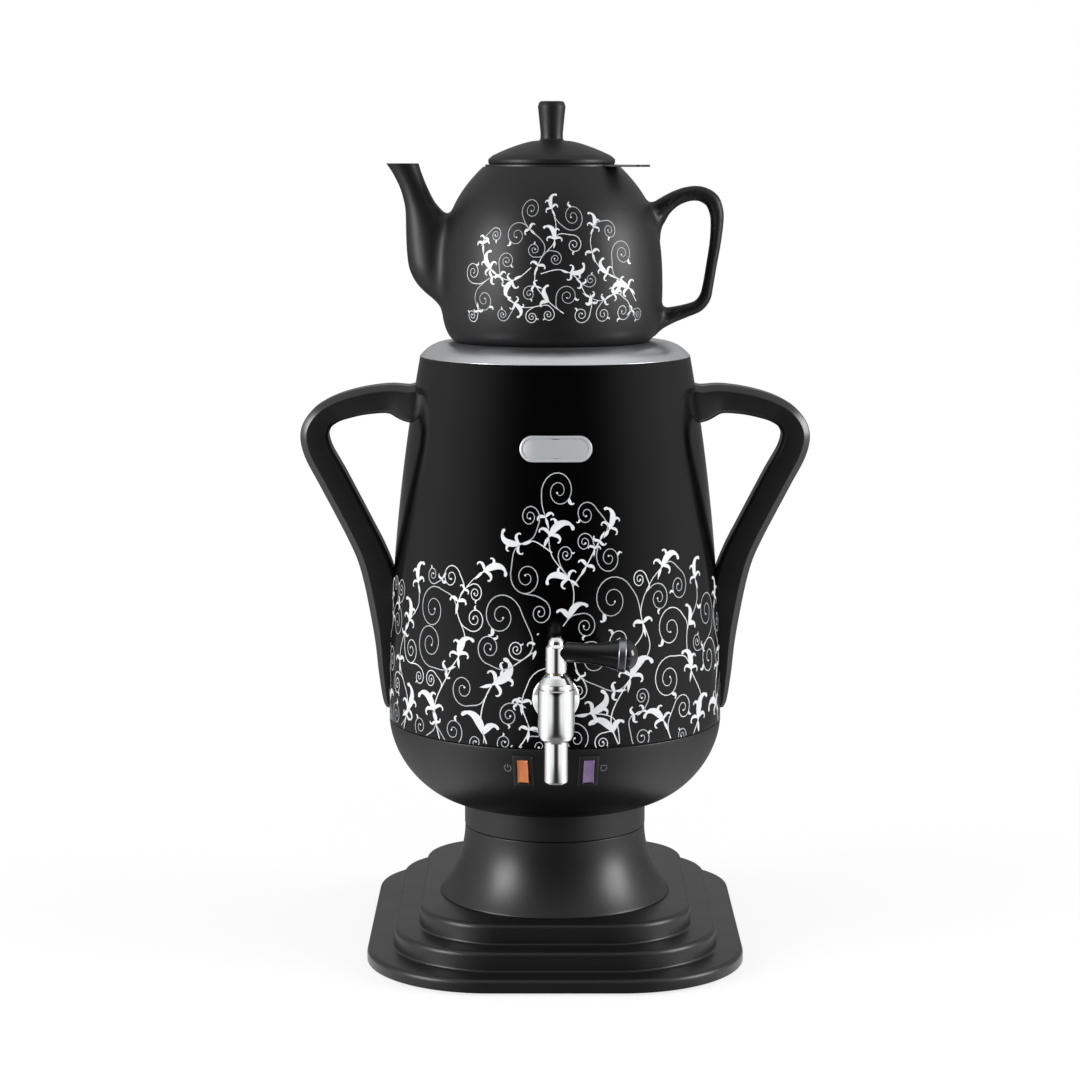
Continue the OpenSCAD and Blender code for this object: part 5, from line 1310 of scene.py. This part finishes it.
def foilTree():
    tree = bpy.data.node_groups.new("pressedFoil", "GeometryNodeTree")
    sockets = {"Strokes": "Geometry", "Ground": "Object", "Material": "Material", "Unroll Radius": "Float",
               "Centre X": "Float", "Foil": "Float", "Sink": "Float", "Layer Step": "Float"}
    for name, kind in sockets.items():
        tree.interface.new_socket(name, in_out="INPUT", socket_type="NodeSocket" + kind)
    tree.interface.new_socket("Print", in_out="OUTPUT", socket_type="NodeSocketGeometry")
    given = addNode(tree, "NodeGroupInput").outputs
    # ribbons: every stroke becomes a flat bar as wide as its radius says, and keeps its layer number
    upright = addNode(tree, "GeometryNodeSetCurveNormal", {"Normal": (0, -1, 0)}, {"Curve": given["Strokes"]},
                      mode="FREE")
    number = mathNode(tree, "MODULO", addNode(tree, "GeometryNodeInputIndex").outputs[0], foil["layers"])
    numbered = addNode(tree, "GeometryNodeStoreNamedAttribute", {"Name": "layer"},
                       {"Geometry": upright.outputs[0], "Value": number}, data_type="FLOAT", domain="CURVE")
    bar = addNode(tree, "GeometryNodeCurvePrimitiveQuadrilateral", {"Width": 2.0, "Height": 2.0})
    corner = apartNode(tree, addNode(tree, "GeometryNodeInputPosition").outputs[0])
    sided = addNode(tree, "GeometryNodeStoreNamedAttribute", {"Name": "side"},
                    {"Geometry": bar.outputs[0], "Value": corner["X"]}, data_type="FLOAT", domain="POINT")
    ribbon = addNode(tree, "GeometryNodeCurveToMesh", {"Fill Caps": True},
                     {"Curve": numbered.outputs[0], "Profile Curve": sided.outputs[0],
                      "Scale": addNode(tree, "GeometryNodeInputRadius").outputs[0]})
    # wrap: the flat drawing rolls round the axis and drops onto its ground along the ray
    flat = apartNode(tree, addNode(tree, "GeometryNodeInputPosition").outputs[0])
    angle = mathNode(tree, "DIVIDE", flat["X"], given["Unroll Radius"])
    back = mathNode(tree, "MULTIPLY", mathNode(tree, "COSINE", angle), -1.0)
    outward = addNode(tree, "ShaderNodeCombineXYZ", links={"X": mathNode(tree, "SINE", angle), "Y": back})
    axis = addNode(tree, "ShaderNodeCombineXYZ", links={"X": given["Centre X"], "Z": flat["Z"]})
    far = foil["rayLength"]
    start = addNode(tree, "ShaderNodeVectorMath", {1: (far, far, far)},
                    {0: outward.outputs[0], 2: axis.outputs[0]}, operation="MULTIPLY_ADD")
    inward = addNode(tree, "ShaderNodeVectorMath", {"Scale": -1.0}, {0: outward.outputs[0]},
                     operation="SCALE")
    ground = addNode(tree, "GeometryNodeObjectInfo", links={"Object": given["Ground"]})
    landed = addNode(tree, "GeometryNodeRaycast", {"Ray Length": far},
                     {"Target Geometry": ground.outputs["Geometry"], "Source Position": start.outputs[0],
                      "Ray Direction": inward.outputs[0]}).outputs
    # the outer half stands proud by its layer's height, the inner half sinks into the ground
    layer, side = (addNode(tree, "GeometryNodeInputNamedAttribute", {"Name": name},
                           data_type="FLOAT").outputs[0] for name in ("layer", "side"))
    height = mixNode(tree, mathNode(tree, "GREATER_THAN", side, 0.0),
                     mathNode(tree, "MULTIPLY", given["Sink"], -1.0),
                     mathNode(tree, "MULTIPLY_ADD", layer, given["Layer Step"], given["Foil"]))
    offset = addNode(tree, "ShaderNodeVectorMath", links={0: landed["Hit Normal"], "Scale": height},
                     operation="SCALE")
    moved = addNode(tree, "GeometryNodeSetPosition", links={
        "Geometry": ribbon.outputs[0], "Position": landed["Hit Position"], "Offset": offset.outputs[0]})
    real = addNode(tree, "GeometryNodeRealizeInstances", links={0: moved.outputs[0]})
    painted = addNode(tree, "GeometryNodeSetMaterial",
                      links={"Geometry": real.outputs[0], "Material": given["Material"]})
    addNode(tree, "NodeGroupOutput", links={"Print": painted.outputs[0]})
    return tree


foilPress = foilTree()


def makePrint(name, strokes, ground, material, unrollRadius, centreX=0.0):
    lines = bpy.data.curves.new(name, "CURVE")
    lines.dimensions = "3D"
    for stroke in strokes:
        line = lines.splines.new("POLY")
        line.points.add(len(stroke) - 1)
        for point, (x, z, half) in zip(line.points, stroke * 0.001):
            point.co, point.radius = (x, 0, z, 1), half
    drawing = placeObject(name + "Drawing", lines)
    press = drawing.modifiers.new("press", "NODES")
    press.node_group = foilPress
    values = {"Ground": ground, "Material": material}
    for key, size in (("Unroll Radius", unrollRadius), ("Centre X", centreX), ("Foil", foil["thickness"]),
                      ("Sink", foil["sink"]), ("Layer Step", foil["layerStep"])):
        values[key] = size * 0.001
    for item in foilPress.interface.items_tree:
        if item.in_out == "INPUT" and item.name in values:
            press[item.identifier] = values[item.name]
    bpy.context.view_layer.update()
    mesh = bpy.data.meshes.new_from_object(drawing.evaluated_get(bpy.context.evaluated_depsgraph_get()))
    bpy.data.objects.remove(drawing)
    piece = placeObject(name, mesh)
    for word in ("layer", "side"):
        mesh.attributes.remove(mesh.attributes[word])
    tidyMesh(piece, 40)
    return piece


def pressPair(body, ground, names, strokes, room, unrollRadius, centreX=0.0):
    for name, some, material in zip(names, strokes, (printSilver, printGrey)):
        pressed = makePrint(name, onGround(some, **room), ground, material, unrollRadius, centreX)
        rideOn(pressed, body, "badge_steel", material=material)


pressPair("body", jacketPiece, ("silverScrolls", "greyScrolls"),
          fieldStrokes(jacketStems + backStems, jacketTop, (-282, 282, 134, 290),
                       (11.5, 9.5, 7.8, 6.2, 4.8), 0.25, 7),
          {"lowest": 134, "highest": 336, "hole": (0, 190, 10.5)}, 90)
pressPair("teapot", teapotPiece, ("potScrolls", "potGreyScrolls"),
          fieldStrokes(potStems, potTop, (-52, 56, 17, 90), (7.2, 6, 4.8, 3.8), 0.18, 3, oval=1.1),
          {"lowest": 350, "highest": 440, "lift": pot["seat"]}, 60, pot["x"])

# small signs beside the rockers: a lamp for on, a cup for keeping warm
signs = {"height": 122.3, "left": -26.2, "right": 26.2, "radius": 92, "size": 1.9, "line": 0.25}


def signStrokes():
    d = signs
    turn = np.radians(np.linspace(120, 420, 16))
    ring = np.column_stack([d["left"] + d["size"] * np.cos(turn), d["height"] + d["size"] * np.sin(turn),
                            np.full(16, d["line"])])
    bar = np.array([(d["left"], d["height"] + t, d["line"]) for t in (0.3, 1.3, 2.3)])
    half = d["size"] * 0.8
    cup = [(-half, half), (-half, -half * 0.6), (-half * 0.6, -half), (half * 0.6, -half),
           (half, -half * 0.6), (half, half), (-half, half)]
    box = np.array([(d["right"] + x, d["height"] + z, d["line"]) for x, z in cup])
    return [ring, bar, box]


rideOn(makePrint("switchSigns", signStrokes(), bowlPiece, padGrey, signs["radius"]), "body", "badge_steel",
       material=padGrey)
print("ornament made")

# ---- stage, light and camera

studio = {
    "ambient": 0.62,
    "roomSeen": [(-1, 0), (-0.93, 0.03), (-0.82, 0.14), (-0.68, 0.4), (-0.51, 0.76), (-0.29, 1), (0.1, 1),
                 (0.5, 0.5), (0.8, 0.22), (1, 0.14)],
    "ceilingSeen": [(-1, 0), (0.06, 0), (0.16, 0.5), (0.95, 0.6)],
    "ceilingFade": [(-1, 0.06), (-0.6, 0.2), (0, 1), (1, 1)],
    "farFloorSeen": [(-1, 0.03), (-0.985, 0.05), (-0.9, 0.95), (-0.5, 1.2), (-0.2, 1.3), (0.1, 1), (0.6, 0.3),
                     (1, 0.2)],
    "nearFloorSeen": [(-1, 0.02), (-0.93, 0.05), (-0.8, 0.6), (-0.6, 1.25), (-0.4, 1.5), (-0.2, 1.3), (0, 1),
                      (0.3, 0.6), (0.6, 0.35), (1, 0.2)],
    "floorHalf": 3000,
    # metres from the middle, and the share of plain white there
    "whiteFrom": (0.12, 0.6, 0.8, 1.0), "nearToFar": (0.45, 0.85),
    "softboxSize": (0.7, 0.9), "softboxTarget": (0, 0, 0.15),
    "softboxes": {"leftSoftbox": ((-1.55, -0.82, 0.7), 30), "rightSoftbox": ((1.7, -0.42, 0.7), 28)},
    "cameraPlace": (-8.5, -1556, 453), "tilt": 82, "lens": 92.433,
}


def brightness(tree, source, stops, low=-1.0, high=1.0):
    # a strength that follows a list of (value, strength) stops
    ramp = addNode(tree, "ShaderNodeValToRGB", links={"Fac": rangeNode(tree, source, low, high)})
    marks = ramp.color_ramp.elements
    while len(marks) < len(stops):
        marks.new(0.5)
    for mark, (value, strength) in zip(marks, stops):
        mark.position, mark.color = (value - low) / (high - low), (strength, strength, strength, 1)
    return ramp.outputs["Color"]


def seenByMirror(tree, paths):
    return mathNode(tree, "MAXIMUM", paths["Is Glossy Ray"], paths["Is Transmission Ray"])


def makeFloor():
    h = studio["floorHalf"]
    floor = makeMesh("studioFloor", [(-h, -h, 0), (h, -h, 0), (h, h, 0), (-h, h, 0)], [(0, 1, 2, 3)])
    material = bpy.data.materials.new("paperSweep")
    material.use_nodes = True
    tree = material.node_tree
    tree.nodes.clear()
    paths = addNode(tree, "ShaderNodeLightPath").outputs
    place = addNode(tree, "ShaderNodeTexCoord").outputs["Object"]
    far = addNode(tree, "ShaderNodeVectorMath", links={0: place}, operation="LENGTH").outputs["Value"]
    fade = rangeNode(tree, far, *studio["whiteFrom"], interpolation_type="SMOOTHSTEP")
    # mirrors find a dark strip in front, broad near the object, with white beside it and a dim floor behind
    unit = addNode(tree, "ShaderNodeVectorMath", links={0: place}, operation="NORMALIZE")
    aside = apartNode(tree, unit.outputs["Vector"])["Y"]
    mirrored = mixNode(tree, rangeNode(tree, far, *studio["nearToFar"]),
                       brightness(tree, aside, studio["nearFloorSeen"]),
                       brightness(tree, aside, studio["farFloorSeen"]))
    seen = mathNode(tree, "MAXIMUM", paths["Is Camera Ray"], seenByMirror(tree, paths))
    paper = addNode(tree, "ShaderNodeBsdfDiffuse", {"Color": hexColour("#f4f4f4")})
    white = addNode(tree, "ShaderNodeEmission", {"Color": (1, 1, 1, 1)},
                    {"Strength": mixNode(tree, paths["Is Camera Ray"], mirrored, 1.0)})
    mix = addNode(tree, "ShaderNodeMixShader", links={0: mathNode(tree, "MULTIPLY", seen, fade),
                                                      1: paper.outputs[0], 2: white.outputs[0]})
    addNode(tree, "ShaderNodeOutputMaterial", links={"Surface": mix.outputs[0]})
    floor.data.materials.append(material)


def makeWorld():
    world = bpy.data.worlds.new("studioRoom")
    bpy.context.scene.world = world
    world.use_nodes = True
    tree = world.node_tree
    tree.nodes.clear()
    paths = addNode(tree, "ShaderNodeLightPath").outputs
    apart = apartNode(tree, addNode(tree, "ShaderNodeTexCoord").outputs["Generated"])
    # mirrors find a dark room in front, pale walls beside and a dim backdrop
    ceiling = mathNode(tree, "MULTIPLY", brightness(tree, apart["Z"], studio["ceilingSeen"]),
                       brightness(tree, apart["Y"], studio["ceilingFade"]))
    room = mathNode(tree, "MAXIMUM", brightness(tree, apart["Y"], studio["roomSeen"]), ceiling)
    plain = mixNode(tree, seenByMirror(tree, paths), studio["ambient"], room)
    back = addNode(tree, "ShaderNodeBackground", {"Color": (1, 1, 1, 1)},
                   {"Strength": mixNode(tree, paths["Is Camera Ray"], plain, 1.0)})
    addNode(tree, "ShaderNodeOutputWorld", links={"Surface": back.outputs[0]})


def makeSoftboxes():
    # flagged off the glossy jacket, which would mirror them as hard streaks
    flagged = bpy.data.collections.new("flagged")
    flagged.objects.link(jacketPiece)
    flagged.collection_objects[0].light_linking.link_state = "EXCLUDE"
    for name, (place, watts) in studio["softboxes"].items():
        light = bpy.data.lights.new(name, "AREA")
        light.shape, light.energy = "RECTANGLE", watts
        light.size, light.size_y = studio["softboxSize"]
        lamp = placeObject(name, light)
        lamp.location = place
        aim = Vector(studio["softboxTarget"]) - lamp.location
        lamp.rotation_euler = aim.to_track_quat("-Z", "Y").to_euler()
        lamp.light_linking.receiver_collection = flagged


def makeCamera():
    data = bpy.data.cameras.new("view")
    data.lens, data.sensor_width = studio["lens"], 36
    camera = placeObject("view", data)
    camera.location = [v * 0.001 for v in studio["cameraPlace"]]
    camera.rotation_euler = (math.radians(studio["tilt"]), 0, 0)
    bpy.context.scene.camera = camera


makeFloor()
makeWorld()
makeSoftboxes()
makeCamera()
bpy.context.scene.view_settings.view_transform = "Standard"
